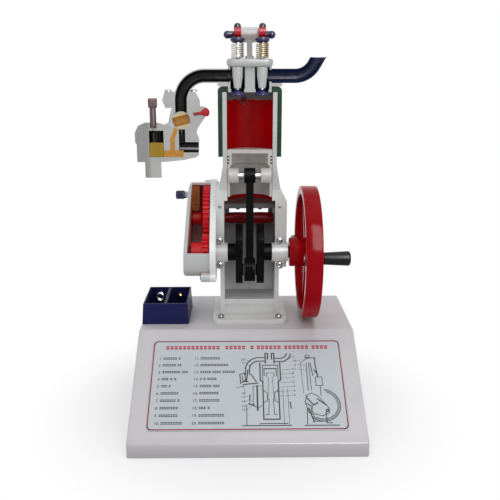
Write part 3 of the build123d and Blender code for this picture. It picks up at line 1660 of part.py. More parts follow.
with BuildPart() as carburettor_body:
    with BuildSketch(SECTION):
        with BuildLine():
            Polyline(*carb_outline, close=True)
        make_face()
    extrude(amount=-carb_deep)
    chamfer(carburettor_body.faces().sort_by(Axis.Y)[-1].edges(), length=carb_edge_r)
    with BuildSketch(LEVEL.offset(pipe_foot - carb_flange_h)):
        with Locations((carb_x, 0)):
            RectangleRounded(ear_l, 2 * manifold_back, manifold_edge_r)
    extrude(amount=carb_flange_h)
    with BuildSketch(LEVEL.offset(carb_low)):
        with Locations((stem_x_carb, 0)):
            Circle(stem_out_r)
    extrude(amount=-carb_low + stem_foot)
    split(bisect_by=SECTION, keep=Keep.BOTTOM)
    with BuildSketch(LEVEL.offset(barrel_z)):
        with Locations((carb_x, 0)):
            Circle(runner_r)
    extrude(amount=pipe_foot - barrel_z, mode=Mode.SUBTRACT)
    with BuildSketch(SECTION):
        with Locations((carb_x, barrel_z)):
            Circle(barrel_r_carb + run_gap)
    extrude(amount=-barrel_deep - run_gap, mode=Mode.SUBTRACT)
    with BuildSketch(LEVEL.offset(intake_z)):
        with Locations((venturi_x, 0)):
            Circle(venturi_r)
    extrude(amount=barrel_z - barrel_r_carb - intake_z, mode=Mode.SUBTRACT)
    with BuildSketch(SIDE.offset(venturi_x - venturi_r)):
        with Locations((0, intake_z)):
            Circle(intake_r)
    extrude(amount=intake_end - venturi_x + venturi_r + overrun, mode=Mode.SUBTRACT)
    with BuildSketch(LEVEL.offset(chamber_low)):
        with Locations((chamber_x, 0)):
            Circle(chamber_r)
    extrude(amount=chamber_high - chamber_low, mode=Mode.SUBTRACT)
    with BuildSketch(LEVEL.offset(chamber_high)):
        with Locations((tickler_x, 0)):
            Circle(needle_hole_r)
    extrude(amount=tickler_hole_low - chamber_high, mode=Mode.SUBTRACT)
    with BuildSketch(LEVEL.offset(tickler_hole_low)):
        with Locations((tickler_x, 0)):
            Circle(tickler_r + run_gap)
    extrude(amount=carb_h, mode=Mode.SUBTRACT)
    # the tickler's head stays clear of the flange, also where the body is made narrower
    with BuildSketch(LEVEL.offset(tickler_neck - tickler_press - slide_gap)):
        with Locations((tickler_x, 0)):
            Circle(tickler_head_r + slide_gap)
    extrude(amount=carb_h, mode=Mode.SUBTRACT)
    with BuildSketch(LEVEL.offset(feed_z)):
        with Locations((jet_x, 0)):
            Circle(jet_r + seat_gap)
    extrude(amount=jet_top - feed_z, mode=Mode.SUBTRACT)
    with BuildSketch(SIDE.offset(chamber_x + chamber_r)):
        with Locations((0, feed_z)):
            Circle(feed_r + seat_gap)
    extrude(amount=feed_to - chamber_x - chamber_r, mode=Mode.SUBTRACT)
    with BuildSketch(SPRAY):
        Circle(spray_r + seat_gap)
    extrude(amount=spray_run, mode=Mode.SUBTRACT)
    with BuildSketch(MIXTURE):
        Circle(mixture_needle_r + run_gap)
    extrude(amount=mixture_cone_from, mode=Mode.SUBTRACT)
    with BuildSketch(MIXTURE.offset(mixture_cone_from)):
        Circle(mixture_needle_r + run_gap)
    with BuildSketch(MIXTURE.offset(mixture_cone_to)):
        Circle(mixture_r + run_gap)
    loft(mode=Mode.SUBTRACT)
    with BuildSketch(MIXTURE.offset(mixture_cone_to)):
        Circle(mixture_r + run_gap)
    extrude(amount=mixture_end - mixture_cone_to, mode=Mode.SUBTRACT)
    with BuildSketch(MIXTURE.offset(mixture_neck_to - slide_gap)):
        Circle(mixture_head_r + slide_gap)
    extrude(amount=mixture_end - mixture_neck_to, mode=Mode.SUBTRACT)
    with BuildSketch(LEVEL.offset(pipe_foot)):
        with Locations(*carb_bolt_spots):
            Circle(hole_r)
    extrude(amount=-carb_flange_h, mode=Mode.SUBTRACT)
finish(carburettor_body.part, "carburettor_body")
# Throttle: a barrel with a passage across its face, nearly closed.
barrel_tilt_deg = 15

with BuildPart() as throttle_barrel:
    with BuildSketch(SECTION):
        with Locations((carb_x, barrel_z)):
            Circle(barrel_r_carb)
    extrude(amount=-barrel_deep)
    across = Plane(
        origin=SECTION.from_local_coords((carb_x, barrel_z, 0)),
        x_dir=(0, 1, 0),
        z_dir=(math.cos(math.radians(barrel_tilt_deg)), 0, math.sin(math.radians(barrel_tilt_deg))),
    )
    with BuildSketch(across.offset(-barrel_r_carb - overrun)):
        Circle(throttle_bore_r)
    extrude(amount=2 * (barrel_r_carb + overrun), mode=Mode.SUBTRACT)
finish(throttle_barrel.part, "throttle_barrel")

with BuildPart() as mixture_screw:
    with BuildSketch(MIXTURE_HALF):
        with BuildLine():
            Polyline(
                (mixture_end, mixture_tip_r),
                (mixture_end, 0),
                (0, 0),
                (0, mixture_tip_r),
                (mixture_cone_from, mixture_needle_r),
                (mixture_cone_to, mixture_r),
                (mixture_neck_to, mixture_r),
                (mixture_neck_to, mixture_head_r),
            )
            ThreePointArc(
                (mixture_neck_to, mixture_head_r),
                (mixture_bulge_at, mixture_head_r * mixture_bulge_share),
                (mixture_end, mixture_tip_r),
            )
        make_face()
    revolve(axis=Axis(MIXTURE.origin, MIXTURE.z_dir))
finish(mixture_screw.part, "mixture_screw")

# Float with its needle, half a drum that rides in the chamber, and the tickler above it.
float_h = 18
float_needle_l = 12
float_low = chamber_low + slide_gap
tickler_low = 166.5
tickler_high = 201.2
tickler_grooves = 12
tickler_groove_r = 0.7

with BuildPart() as float_drum:
    with BuildSketch(LEVEL.offset(float_low)):
        with Locations((chamber_x, 0)):
            Circle(chamber_r - slide_gap)
    extrude(amount=float_h)
    with BuildSketch(LEVEL.offset(float_low + float_h)):
        with Locations((tickler_x, 0)):
            Circle(needle_r)
    extrude(amount=float_needle_l)
    split(bisect_by=SECTION, keep=Keep.BOTTOM)
finish(float_drum.part, "float_drum")

with BuildPart() as tickler:
    with BuildSketch(LEVEL.offset(tickler_low)):
        with Locations((tickler_x, 0)):
            Circle(tickler_r)
    extrude(amount=tickler_neck - tickler_low)
    with BuildSketch(LEVEL.offset(tickler_neck)):
        with Locations((tickler_x, 0)):
            Circle(tickler_head_r)
    extrude(amount=tickler_high - tickler_neck)
    fillet(tickler.edges().group_by(Axis.Z)[-1], radius=tickler_groove_r * 2)
    with BuildSketch(LEVEL.offset(tickler_neck)):
        with Locations((tickler_x, 0)):
            with PolarLocations(tickler_head_r, tickler_grooves):
                Circle(tickler_groove_r)
    extrude(amount=tickler_high - tickler_neck, mode=Mode.SUBTRACT)
finish(tickler.part, "tickler")

# Fuel passage: feed from the chamber, jet and slanted spray tube, halved by the cut.
with BuildPart() as fuel_channel:
    with BuildSketch(SIDE.offset(chamber_x + chamber_r)):
        with Locations((0, feed_z)):
            Circle(feed_r)
    extrude(amount=feed_to - chamber_x - chamber_r)
    with BuildSketch(LEVEL.offset(feed_z)):
        with Locations((jet_x, 0)):
            Circle(jet_r)
    extrude(amount=jet_top - feed_z)
    with BuildSketch(SPRAY):
        Circle(spray_r)
    extrude(amount=spray_run)
    with BuildSketch(LEVEL.offset(chamber_low)):
        with Locations((chamber_x, 0)):
            Circle(chamber_r + seat_gap)
    extrude(amount=chamber_high - chamber_low, mode=Mode.SUBTRACT)
    split(bisect_by=SECTION, keep=Keep.BOTTOM)
finish(fuel_channel.part, "fuel_channel")

carb_screws = pan_screws(
    LEVEL.offset(pipe_foot + manifold_h),
    carb_bolt_spots,
    head_r,
    head_h,
    shank_r,
    manifold_h + carb_flange_h,
)
finish(carb_screws, "carb_screws")

# Spark plug at the back of the barrel, leaning up and away.
plug_hex_r = 6.4
plug_hex_h = 8
plug_neck_r = 3.8
plug_neck_h = 17
plug_tip_r = 2
plug_tip_h = 6
plug_tip_in = 4
plug_thread = (jacket_r - plug_start_y) / math.cos(math.radians(plug_deg)) + plug_seat_out

with BuildPart() as spark_plug:
    with BuildSketch(PLUG):
        Circle(plug_r)
    extrude(amount=plug_thread)
    with BuildSketch(PLUG.offset(-plug_tip_in)):
        Circle(plug_tip_r)
    extrude(amount=plug_tip_in)
    with BuildSketch(PLUG.offset(plug_thread)):
        RegularPolygon(plug_hex_r, 6)
    extrude(amount=plug_hex_h)
    with BuildSketch(PLUG.offset(plug_thread + plug_hex_h)):
        Circle(plug_neck_r)
    with BuildSketch(PLUG.offset(plug_thread + plug_hex_h + plug_neck_h)):
        Circle(plug_tip_r)
    loft()
    with BuildSketch(PLUG.offset(plug_thread + plug_hex_h + plug_neck_h)):
        Circle(plug_tip_r)
    extrude(amount=plug_tip_h)
finish(spark_plug.part, "spark_plug")
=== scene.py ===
import json
import math
import random

import bmesh
import bpy
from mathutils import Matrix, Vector


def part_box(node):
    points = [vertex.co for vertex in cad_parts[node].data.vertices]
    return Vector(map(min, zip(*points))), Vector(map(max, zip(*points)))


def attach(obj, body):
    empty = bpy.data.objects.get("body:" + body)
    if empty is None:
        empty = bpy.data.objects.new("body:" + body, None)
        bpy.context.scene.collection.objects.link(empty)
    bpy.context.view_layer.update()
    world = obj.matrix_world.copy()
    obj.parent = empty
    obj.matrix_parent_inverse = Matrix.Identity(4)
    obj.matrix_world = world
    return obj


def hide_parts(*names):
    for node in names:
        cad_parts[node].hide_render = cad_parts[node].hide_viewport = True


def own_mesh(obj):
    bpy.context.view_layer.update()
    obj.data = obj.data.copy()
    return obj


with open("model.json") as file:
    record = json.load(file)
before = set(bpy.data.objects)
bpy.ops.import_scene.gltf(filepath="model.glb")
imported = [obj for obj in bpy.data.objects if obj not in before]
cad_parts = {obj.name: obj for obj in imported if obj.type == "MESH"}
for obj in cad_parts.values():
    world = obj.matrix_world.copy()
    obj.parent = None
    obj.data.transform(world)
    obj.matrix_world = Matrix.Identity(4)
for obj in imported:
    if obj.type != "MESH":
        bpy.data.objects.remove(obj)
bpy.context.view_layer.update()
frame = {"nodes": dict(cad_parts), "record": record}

# The camera stands a little left of the model and looks down on it, as the photograph was taken.
# Its lens, place and small shift come from the console's corners and the cylinder's edges.
def placed(name, data):
    """Sets a new object into the scene."""
    thing = bpy.data.objects.new(name, data)
    bpy.context.scene.collection.objects.link(thing)
    return thing


photo_camera = placed("photo_camera", bpy.data.cameras.new("photo_camera"))
photo_camera.data.lens = 47.0
photo_camera.data.sensor_width = 36.0
photo_camera.data.shift_x = 0.0092
photo_camera.data.shift_y = -0.0079
photo_camera.location = (-0.0110, -0.8154, 0.4152)
photo_camera.rotation_euler = (math.radians(76.27), 0, math.radians(-0.78))
bpy.context.scene.camera = photo_camera
bpy.context.scene.view_settings.view_transform = "Standard"

# The studio is a white room round a pale floor that fades into it, so no horizon shows.
# The room's light reaches the model more weakly than it shows to the camera and in gloss.
def feed(node, fed):
    """Gives each named socket of a node a plain value, a link, or a list of links."""
    for socket, value in fed.items():
        for given in value if isinstance(value, list) else [value]:
            if isinstance(given, bpy.types.NodeSocket):
                node.id_data.links.new(given, node.inputs[socket])
            else:
                node.inputs[socket].default_value = given


def step(tree, kind, fed=(), out=0, **options):
    """Adds a node, sets its options, feeds its sockets and gives one of its outputs."""
    node = tree.nodes.new(kind)
    for option, value in options.items():
        setattr(node, option, value)
    feed(node, dict(fed))
    return node.outputs[out]


def reckon(sign, first, second=0.0):
    """One sum on two numbers, of which one at least comes from a node."""
    tree = (first if isinstance(first, bpy.types.NodeSocket) else second).id_data
    return step(tree, "ShaderNodeMath", {0: first, 1: second}, operation=sign)


def times(first, second):
    return reckon("MULTIPLY", first, second)


def seen_ray(tree):
    """One for rays that the eye sees: straight, mirrored, or through glass."""
    rays = step(tree, "ShaderNodeLightPath").node.outputs
    mirrored = reckon("MAXIMUM", rays["Is Camera Ray"], rays["Is Glossy Ray"])
    return reckon("MAXIMUM", mirrored, rays["Is Transmission Ray"])


def new_finish(name):
    """A new material, with its tree and its shader."""
    made = bpy.data.materials.new(name)
    made.use_nodes = True
    return made, made.node_tree, made.node_tree.nodes["Principled BSDF"]


def panel(name, corners, finish):
    """A flat panel with four corners."""
    mesh = bpy.data.meshes.new(name)
    mesh.from_pydata(corners, [], [(0, 1, 2, 3)])
    mesh.materials.append(finish)
    return placed(name, mesh)


studio = bpy.data.worlds.new("studio")
bpy.context.scene.world = studio
studio.use_nodes = True
room = studio.node_tree
feed(room.nodes["Background"], {"Color": (0.96, 0.97, 1.0, 1), "Strength": 0.60})
room_seen = step(room, "ShaderNodeBackground", {"Color": (1, 1, 1, 1)})
room_shades = {0: seen_ray(room), 1: room.nodes["Background"].outputs[0], 2: room_seen}
feed(room.nodes["World Output"], {"Surface": step(room, "ShaderNodeMixShader", room_shades)})

floor_reach = 3.0
floor_paint, tree, shader = new_finish("floor_paint")
feed(shader, {"Base Color": (0.93, 0.93, 0.93, 1), "Roughness": 0.8})
where = step(tree, "ShaderNodeTexCoord", out="Object")
away = step(tree, "ShaderNodeVectorMath", {0: where}, out="Value", operation="LENGTH")
fading = {"Value": away, "From Min": 0.14, "From Max": 0.30, "To Min": 0.35}
fade = step(tree, "ShaderNodeMapRange", fading, interpolation_type="SMOOTHSTEP")
white_share = times(seen_ray(tree), fade)
floor_shades = {0: white_share, 1: shader.outputs[0], 2: step(tree, "ShaderNodeEmission")}
feed(tree.nodes["Material Output"], {"Surface": step(tree, "ShaderNodeMixShader", floor_shades)})
floor_corners = [(u * floor_reach, v * floor_reach, 0) for u, v in ((-1, -1), (1, -1), (1, 1), (-1, 1))]
floor = panel("floor", floor_corners, floor_paint)

# Three large soft lamps: one in front at the left, a tall panel at the right whose reflection
# lies on the flywheel's rim, and one overhead.
lamp_aim = Vector((0, 0, 0.25))
for lamp_name, lamp_at, lamp_size, lamp_watts, lamp_tint in (
    ("lamp_left", (-0.9, -1.1, 1.25), (0.9, 0.9), 3.6, (1.0, 0.99, 0.97)),
    ("lamp_right", (1.05, -0.75, 0.75), (0.35, 0.7), 2.4, (0.97, 0.98, 1.0)),
    ("lamp_top", (0.1, 0.0, 1.6), (1.2, 1.2), 5.0, (1.0, 1.0, 1.0)),
):
    lamp = placed(lamp_name, bpy.data.lights.new(lamp_name, "AREA"))
    lamp.data.shape = "RECTANGLE"
    lamp.data.size, lamp.data.size_y = lamp_size
    lamp.data.energy = lamp_watts
    lamp.data.color = lamp_tint
    lamp.location = lamp_at
    lamp.rotation_euler = (lamp_aim - Vector(lamp_at)).to_track_quat("-Z", "Y").to_euler()

# a bright window high in front at the right, which only polished surfaces show
window_glow, tree, shader = new_finish("window_glow")
feed(tree.nodes["Material Output"], {"Surface": step(tree, "ShaderNodeEmission", {"Strength": 26.0})})
window_corners = ((0.22, -2.0, 0.80), (0.22, -2.0, 3.60), (1.10, -2.0, 3.60), (1.10, -2.0, 0.80))
window = panel("window", window_corners, window_glow)
window.visible_camera = window.visible_diffuse = window.visible_shadow = False

# The console is one deep moulding of glass-filled resin with a pale lilac-grey gel coat.
# The coat is a little mottled, shows the faint ripple of its mould and has painted shade in its corners.
def blend(tree, share, first, second):
    """Mixes two colours by a share."""
    return step(tree, "ShaderNodeMix", {"Factor": share, "A": first, "B": second}, out="Result", data_type="RGBA")


def coat(
    name, colour, rough=0.3, gloss=0.5, clear=0.0, blotch=45, vary=0.05, peel=900, depth=0.05, metal=0.0, corner_shade=0.0
):
    """A finish with its colour, sheen and surface: blotches of vary, a fine peel, and painted shade in its corners."""
    made, tree, shader = new_finish(name)
    place = step(tree, "ShaderNodeTexCoord", out="Object")
    wide = step(tree, "ShaderNodeTexNoise", {"Vector": place, "Scale": blotch, "Detail": 5}, out="Fac")
    fine = step(tree, "ShaderNodeTexNoise", {"Vector": place, "Scale": peel, "Detail": 2}, out="Fac")
    darker = (*[max(0, c * (1 - vary)) for c in colour], 1)
    paler = (*[min(1, c * (1 + vary)) for c in colour], 1)
    tint = blend(tree, wide, darker, paler)
    # painted shade: the colour darkens where the ambient-occlusion node finds nearby surfaces
    if corner_shade:
        corners = step(tree, "ShaderNodeAmbientOcclusion", {"Distance": 0.007}, out="AO", samples=4)
        settled = {"Value": corners, "From Min": 0.75, "From Max": 0.15, "To Max": corner_shade}
        shaded_tint = (*[c * s for c, s in zip(colour, (0.52, 0.47, 0.40))], 1)
        tint = blend(tree, step(tree, "ShaderNodeMapRange", settled), tint, shaded_tint)
    sheen = {"Value": wide, "From Min": 0.3, "From Max": 0.7}
    sheen.update({"To Min": max(0.04, rough - 0.06), "To Max": min(1, rough + 0.08)})
    bump = {"Height": fine, "Strength": min(1.0, depth * 4), "Distance": 0.0002}
    feed(shader, {"Base Color": tint, "Roughness": step(tree, "ShaderNodeMapRange", sheen)})
    feed(shader, {"Normal": step(tree, "ShaderNodeBump", bump), "Metallic": metal, "Specular IOR Level": gloss})
    feed(shader, {"Coat Weight": clear, "Coat Roughness": 0.12})
    return made


def graded(finish, axis, start, end, colour, ragged=0.0):
    """Lets a finish pass into another colour along an axis, between two places in mm, or at a ragged line."""
    tree = finish.node_tree
    shader = tree.nodes["Principled BSDF"]
    under = shader.inputs["Base Color"].links[0].from_socket
    place = step(tree, "ShaderNodeTexCoord", out="Object")
    spot = step(tree, "ShaderNodeSeparateXYZ", {0: place}, out=axis)
    if ragged:
        waves = step(tree, "ShaderNodeTexNoise", {"Vector": place, "Scale": 120}, out="Fac")
        spot = step(tree, "ShaderNodeMath", {0: waves, 1: ragged / 1000, 2: spot}, operation="MULTIPLY_ADD")
    ends = {"Value": spot, "From Min": start / 1000, "From Max": end / 1000}
    share = step(tree, "ShaderNodeMapRange", ends, interpolation_type="LINEAR" if ragged else "SMOOTHSTEP")
    feed(shader, {"Base Color": blend(tree, share, under, (*colour, 1))})


def installed(piece, node, stands_for=True):
    """Makes a piece ride with a CAD node's body, and stand for the node unless told not to."""
    body = next(b for b, group in frame["record"]["behaviour"]["bodies"].items() if node in group)
    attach(piece, body)
    if stands_for:
        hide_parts(node)
    return piece


def dressed(node, finishes, edge, pick=None, segments=2, bend=None, soften=None):
    """A copy of a CAD node with joined faces, rounded edges and its finishes; pick(middle, normal) chooses one."""
    flat, corner = math.radians(1.0), math.radians(34)
    mesh = frame["nodes"][node].data.copy()
    mesh.name = node + "_dressed"
    edit = bmesh.new()
    edit.from_mesh(mesh)
    bmesh.ops.remove_doubles(edit, verts=edit.verts, dist=1e-6)
    bmesh.ops.dissolve_limit(edit, angle_limit=flat, verts=edit.verts, edges=edit.edges)
    mesh.materials.clear()
    for finish in finishes if isinstance(finishes, list) else [finishes]:
        mesh.materials.append(finish)
    for face in edit.faces:
        face.material_index = pick(face.calc_center_median() * 1000, face.normal) if pick else 0
    if soften:
        chosen = [e for e in edit.edges if soften[0](e)]
        bmesh.ops.bevel(
            edit, geom=chosen, offset=soften[1] / 1000, offset_type="OFFSET", segments=5, profile=0.5, affect="EDGES"
        )
    for face in edit.faces:
        face.smooth = True
    if bend:
        for spot in edit.verts:
            spot.co = bend(spot.co * 1000) / 1000
    edit.to_mesh(mesh)
    edit.free()
    mesh.set_sharp_from_angle(angle=corner)
    piece = placed(node + "_dressed", mesh)
    rounding = piece.modifiers.new("rounding", "BEVEL")
    rounding.width = edge / 1000
    rounding.segments = segments
    rounding.limit_method = "ANGLE"
    rounding.angle_limit = corner
    rounding.use_clamp_overlap = True
    installed(piece, node)


console_coat = coat(
    "console_coat", (0.57, 0.55, 0.56), rough=0.42, gloss=0.4, clear=0.08, blotch=28, vary=0.06, peel=420, corner_shade=0.5
)
# painted shade: the coat darkens towards the console's foot
graded(console_coat, "Z", 26, 2, (0.42, 0.405, 0.415))
dressed("base_shell", console_coat, edge=0.8)

# The legend plate is a laminated card, white with a faint blue cast, glued to the slope.
# It carries a crimson line border, numbered rows and two line drawings; no words are drawn.
def print_ink(name, colour, vary=0.10):
    """Printing ink: thin, even and a little glossy."""
    return coat(name, colour, rough=0.4, gloss=0.3, blotch=300, vary=vary, peel=800, depth=0.01)


card_white = coat(
    "card_white", (0.50, 0.53, 0.55), rough=0.35, gloss=0.4, clear=0.2, blotch=60, vary=0.02, peel=150, depth=0.01
)
print_crimson = print_ink("print_crimson", (0.26, 0.014, 0.045))
print_red = print_ink("print_red", (0.42, 0.03, 0.07))
print_black = print_ink("print_black", (0.030, 0.036, 0.038), vary=0.2)
dressed("legend_plate", card_white, edge=0.3)

legend_w, legend_h = 238.0, 124.0
slope = math.atan2(90, 130)
plate_low, plate_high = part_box("legend_plate")
plate_thick, print_lift = 0.0012, 0.05 / 1000
down_slope = Vector((0, -math.cos(slope), -math.sin(slope)))
out_of_card = Vector((0, -math.sin(slope), math.cos(slope)))


def on_card(u, v):
    """A point u mm from the card's left edge and v mm down from its top edge."""
    corner = Vector((plate_low.x, plate_high.y, plate_high.z - plate_thick * math.cos(slope)))
    return corner + Vector((u, 0, 0)) / 1000 + down_slope * v / 1000 + out_of_card * (plate_thick + print_lift)


def stroke(edit, points, width, closed=False):
    """A printed line through the points, as flat ribbons that overlap at its corners."""
    for (u0, v0), (u1, v1) in zip(points, points[1:] + (points[:1] if closed else [])):
        run = math.hypot(u1 - u0, v1 - v0)
        if run < 1e-6:
            continue
        along = ((u1 - u0) / run * width / 2, (v1 - v0) / run * width / 2)
        across = (-along[1], along[0])
        ends = ((u0, v0, -1, 1), (u0, v0, -1, -1), (u1, v1, 1, -1), (u1, v1, 1, 1))
        corners = [(u + a * along[0] + b * across[0], v + a * along[1] + b * across[1]) for u, v, a, b in ends]
        edit.faces.new([edit.verts.new(on_card(*c)) for c in corners])


def arc(mid, radius, start, end, steps):
    """Points of an arc on the card, in degrees from the right and clockwise as v runs down."""
    turns = [math.radians(start + (end - start) * k / steps) for k in range(steps + 1)]
    return [(mid[0] + radius * math.cos(turn), mid[1] + radius * math.sin(turn)) for turn in turns]


def from_edit(name, edit, finish):
    """Makes an object of an edited mesh, in one finish."""
    mesh = bpy.data.meshes.new(name)
    edit.to_mesh(mesh)
    edit.free()
    mesh.materials.append(finish)
    return placed(name, mesh)


def printed(name, edit, ink):
    """Makes a print piece of the ribbons, a twentieth of a millimetre thick."""
    bmesh.ops.recalc_face_normals(edit, faces=edit.faces)
    for face in edit.faces:
        if face.normal.dot(out_of_card) < 0:
            face.normal_flip()
    piece = from_edit(name, edit, ink)
    film = piece.modifiers.new("film", "SOLIDIFY")
    film.thickness = 0.00004
    film.offset = -1
    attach(piece, "base")


border = bmesh.new()
inset, border_r = 1.6, 5.0
ring = []
for mid_u, mid_v, start in (
    (legend_w - inset - border_r, inset + border_r, -90),
    (legend_w - inset - border_r, legend_h - inset - border_r, 0),
    (inset + border_r, legend_h - inset - border_r, 90),
    (inset + border_r, inset + border_r, 180),
):
    ring += arc((mid_u, mid_v), border_r, start, start + 90, steps=8)
stroke(border, ring, width=1.5, closed=True)
printed("legend_border_print", border, print_crimson)

# the title's place holds plain blocks, one for each word's length
title = bmesh.new()
title_words = ((16, 70), (91, 28), (123, 5), (131, 31), (166, 31), (201, 22))
for u, run in title_words:
    for k in range(max(1, round(run / 5.3))):
        for v in (9.3, 12.2):
            stroke(title, [(u + 1.9 + 5.3 * k, v), (u + 3.6 + 5.3 * k, v)], width=2.3)
printed("legend_title_print", title, print_red)

digits = {}
for figure in "0123456789.":
    text = bpy.data.curves.new("figure", "FONT")
    text.body = figure
    text.size = 4.4
    text.offset = 0.10
    text.resolution_u = 3
    holder = placed("figure", text)
    bpy.context.view_layer.update()
    shape = bpy.data.meshes.new_from_object(holder)
    digits[figure] = ([v.co.copy() for v in shape.vertices], [list(p.vertices) for p in shape.polygons])
    bpy.data.objects.remove(holder)


def number(edit, value, u, v, size):
    """Prints a plain number whose foot stands at u, v."""
    for figure in value:
        spots, faces = digits[figure]
        made = [edit.verts.new(on_card(u + size * c.x, v - size * c.y)) for c in spots]
        for face in faces:
            edit.faces.new([made[k] for k in face])
        u += size * (1.3 if figure == "." else 2.6)
    return u


rows = bmesh.new()
row_lengths = (
    (26, 27, 36, 19, 13, 26, 28, 26, 27, 29),
    (29, 40, 51, 23, 29, 27, 30, 14, 37, 34),
)
rng = random.Random(5)
for column, left in enumerate((9.0, 53)):
    for row in range(10):
        foot = 28.4 + 9.75 * row
        after = number(rows, f"{10 * column + row + 1}.", left, foot, size=1.08)
        u, end = after + 1.0, after + 1.0 + row_lengths[column][row] * 0.82
        while u < end:
            run = rng.uniform(1.5, 2.2)
            for v in (foot - 2.75, foot - 0.85):
                stroke(rows, [(u + 0.6, v), (u + run - 0.2, v)], width=1.25)
            u += run + 0.95
            if rng.random() < 0.13:
                u += 1.7
printed("legend_rows_print", rows, print_black)

# left drawing: the sectioned engine from the front; right drawing: its side, with the gear case
plan = bmesh.new()
heavy, light = 1.6, 0.6


def drawn(lines):
    """Draws lines on the plan, each a width and the u and v of its points."""
    for width, *spots in lines:
        stroke(plan, list(zip(spots[::2], spots[1::2])), width)


def led(leaders):
    """Prints numbers on the plan, each with a thin line that starts beside it and ends at its part."""
    line_starts = {112: 4.9, 175: -0.8, 176: 4.6, 178: 4.6}
    for value, u, v, to_u, to_v in leaders:
        stroke(plan, [(u + line_starts[u], v - 1.3), (to_u, to_v)], 0.4)
        number(plan, str(value), u, v, size=0.9)


drawn((
    (1.2, 113, 118, 170, 118), (0.7, 133, 115, 133, 118), (1.1, 134, 115.5, 166, 115.5),
    (heavy, 138, 74, 138, 110, 157, 110, 157, 74), (heavy, 135, 34, 135, 58), (heavy, 160, 34, 160, 58),
    (heavy, 135, 58, 138, 60, 138, 74), (heavy, 160, 58, 157, 60, 157, 74), (0.9, 138, 37, 138, 58),
    (0.9, 157, 37, 157, 58), (1.2, 138, 37, 157, 37), (1.5, 140, 42, 155, 42), (1.1, 140, 42, 140, 52),
    (1.1, 155, 42, 155, 52), (0.7, 143, 48, 152, 48), (0.9, 143, 48, 143, 53), (0.9, 152, 48, 152, 53),
    (light, 145, 54, 144, 84), (light, 150, 54, 151, 84), (0.9, 145, 84, 144, 104, 141, 104),
    (0.9, 150, 84, 151, 104, 154, 104), (0.9, 139, 72, 143, 76, 143, 86, 139, 88),
    (0.9, 156, 72, 152, 76, 152, 86, 156, 88), (0.9, 118, 92, 118, 117), (light, 162, 70, 162, 117),
    (light, 168, 70, 168, 117), (1.4, 170, 88, 171, 96), (heavy, 142, 34, 142, 20, 145, 20, 145, 28),
    (heavy, 150, 28, 150, 20, 153, 20, 153, 34), (0.8, 126, 66, 126, 92, 132, 96, 136, 92),
    (2.0, 131, 66, 131, 98), (0.7, 126, 66, 136, 66), (1.4, 122, 78, 122, 86), (1.8, 121, 90, 127, 92),
    (1.3, 110, 50, 116, 48, 117, 58, 111, 62, 110, 50), (1.2, 113, 52, 114, 60, 120, 60),
    (heavy, 120, 44, 118, 60), (1.3, 124, 50, 130, 60), (1.5, 114, 64, 132, 62), (0.8, 106, 68, 116, 66),
))
for radius in (12, 17):
    stroke(plan, [(141, 43 - radius)] + arc((134, 43), radius, -90, -180, 12) + [(134 - radius, 50)], 1.4)
for offset in (0, 5):
    stroke(plan, [(153, 27 + offset), (160, 27 + offset)] + arc((161, 19), 8 + offset, 90, 10, 8), 1.4)
led((
    (12, 112, 99, 128, 90), (13, 112, 94, 124, 86), (14, 112, 88, 122, 84), (15, 112, 82, 121, 80),
    (17, 112, 35, 122, 38), (20, 112, 30, 124, 32), (16, 112, 77, 114, 66),
    (9, 175, 44, 162, 44), (8, 175, 50, 161, 50), (7, 175, 56, 161, 55), (5, 175, 62, 158, 62),
    (4, 175, 68, 158, 68), (3, 175, 74, 151, 74), (2, 175, 80, 158, 80), (11, 175, 26, 172, 28),
))
drawn((
    (1.3, 186, 118, 226, 118), (1.0, 189, 116, 190, 96), (1.6, 192, 96, 197, 114),
    (0.9, 195, 96, 199, 113, 212, 113), (1.2, 212, 101, 212, 115, 218, 115), (light, 187, 76, 186, 34, 194, 28),
    (1.0, 193, 72, 193, 34), (0.9, 197, 72, 196, 34), (1.1, 192, 26, 204, 27), (1.4, 204, 26, 204, 36, 206, 54),
    (1.2, 198, 34, 200, 52), (1.5, 202, 44, 206, 50), (0.9, 203, 54, 203, 66, 211, 66, 211, 54, 203, 54),
    (0.9, 208, 66, 208, 80), (heavy, 190, 82, 198, 92, 203, 89), (1.4, 190, 90, 196, 94, 195, 100),
    (1.5, 203, 84, 213, 92),
    (1.0, 191, 80, 188, 88, 192, 102, 208, 106, 216, 102, 216, 96, 204, 80, 196, 76, 189, 80),
))
for mid, radius, start, end, steps, width in (
    ((209, 92), 21, -80, 130, 30, 1.0),
    ((209, 92), 18.0, -70, 120, 30, 0.9),
    ((209, 92), 19.5, -80, 130, 30, 0.7),
    ((195, 25), 2.6, 0, 360, 16, 0.9),
    ((214, 99), 1.4, 0, 360, 12, 1.3),
):
    stroke(plan, arc(mid, radius, start, end, steps), width)
led(((10, 176, 32, 193, 29), (6, 178, 38, 192, 37), (1, 178, 44, 191, 44)))
printed("legend_drawing_print", plan, print_black)

# The battery box is moulded in navy plastic: a tray with two bays and a rib between them.
# Each bay has a sprung wire coil at one end and a domed brass stud at the other.
navy_plastic = coat("navy_plastic", (0.0115, 0.013, 0.078), rough=0.34, gloss=0.08, blotch=90, vary=0.14, peel=1600)
spring_steel = coat("spring_steel", (0.50, 0.48, 0.45), blotch=500, vary=0.18, peel=2500, metal=1.0)
bright_brass = coat("bright_brass", (0.62, 0.45, 0.20), rough=0.26, blotch=300, vary=0.14, peel=2200, metal=1.0)
box_low, box_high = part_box("battery_box")


def thick_rib(spot):
    """The moulded rib between the bays is thicker than the solid's."""
    off = spot.x - (box_low.x + box_high.x) * 500
    return Vector((spot.x + math.copysign(1.0, off), spot.y, spot.z)) if abs(off) < 2.5 else spot


dressed("battery_box", navy_plastic, edge=0.5, bend=thick_rib)
dressed("contact_stud", bright_brass, edge=0.2)


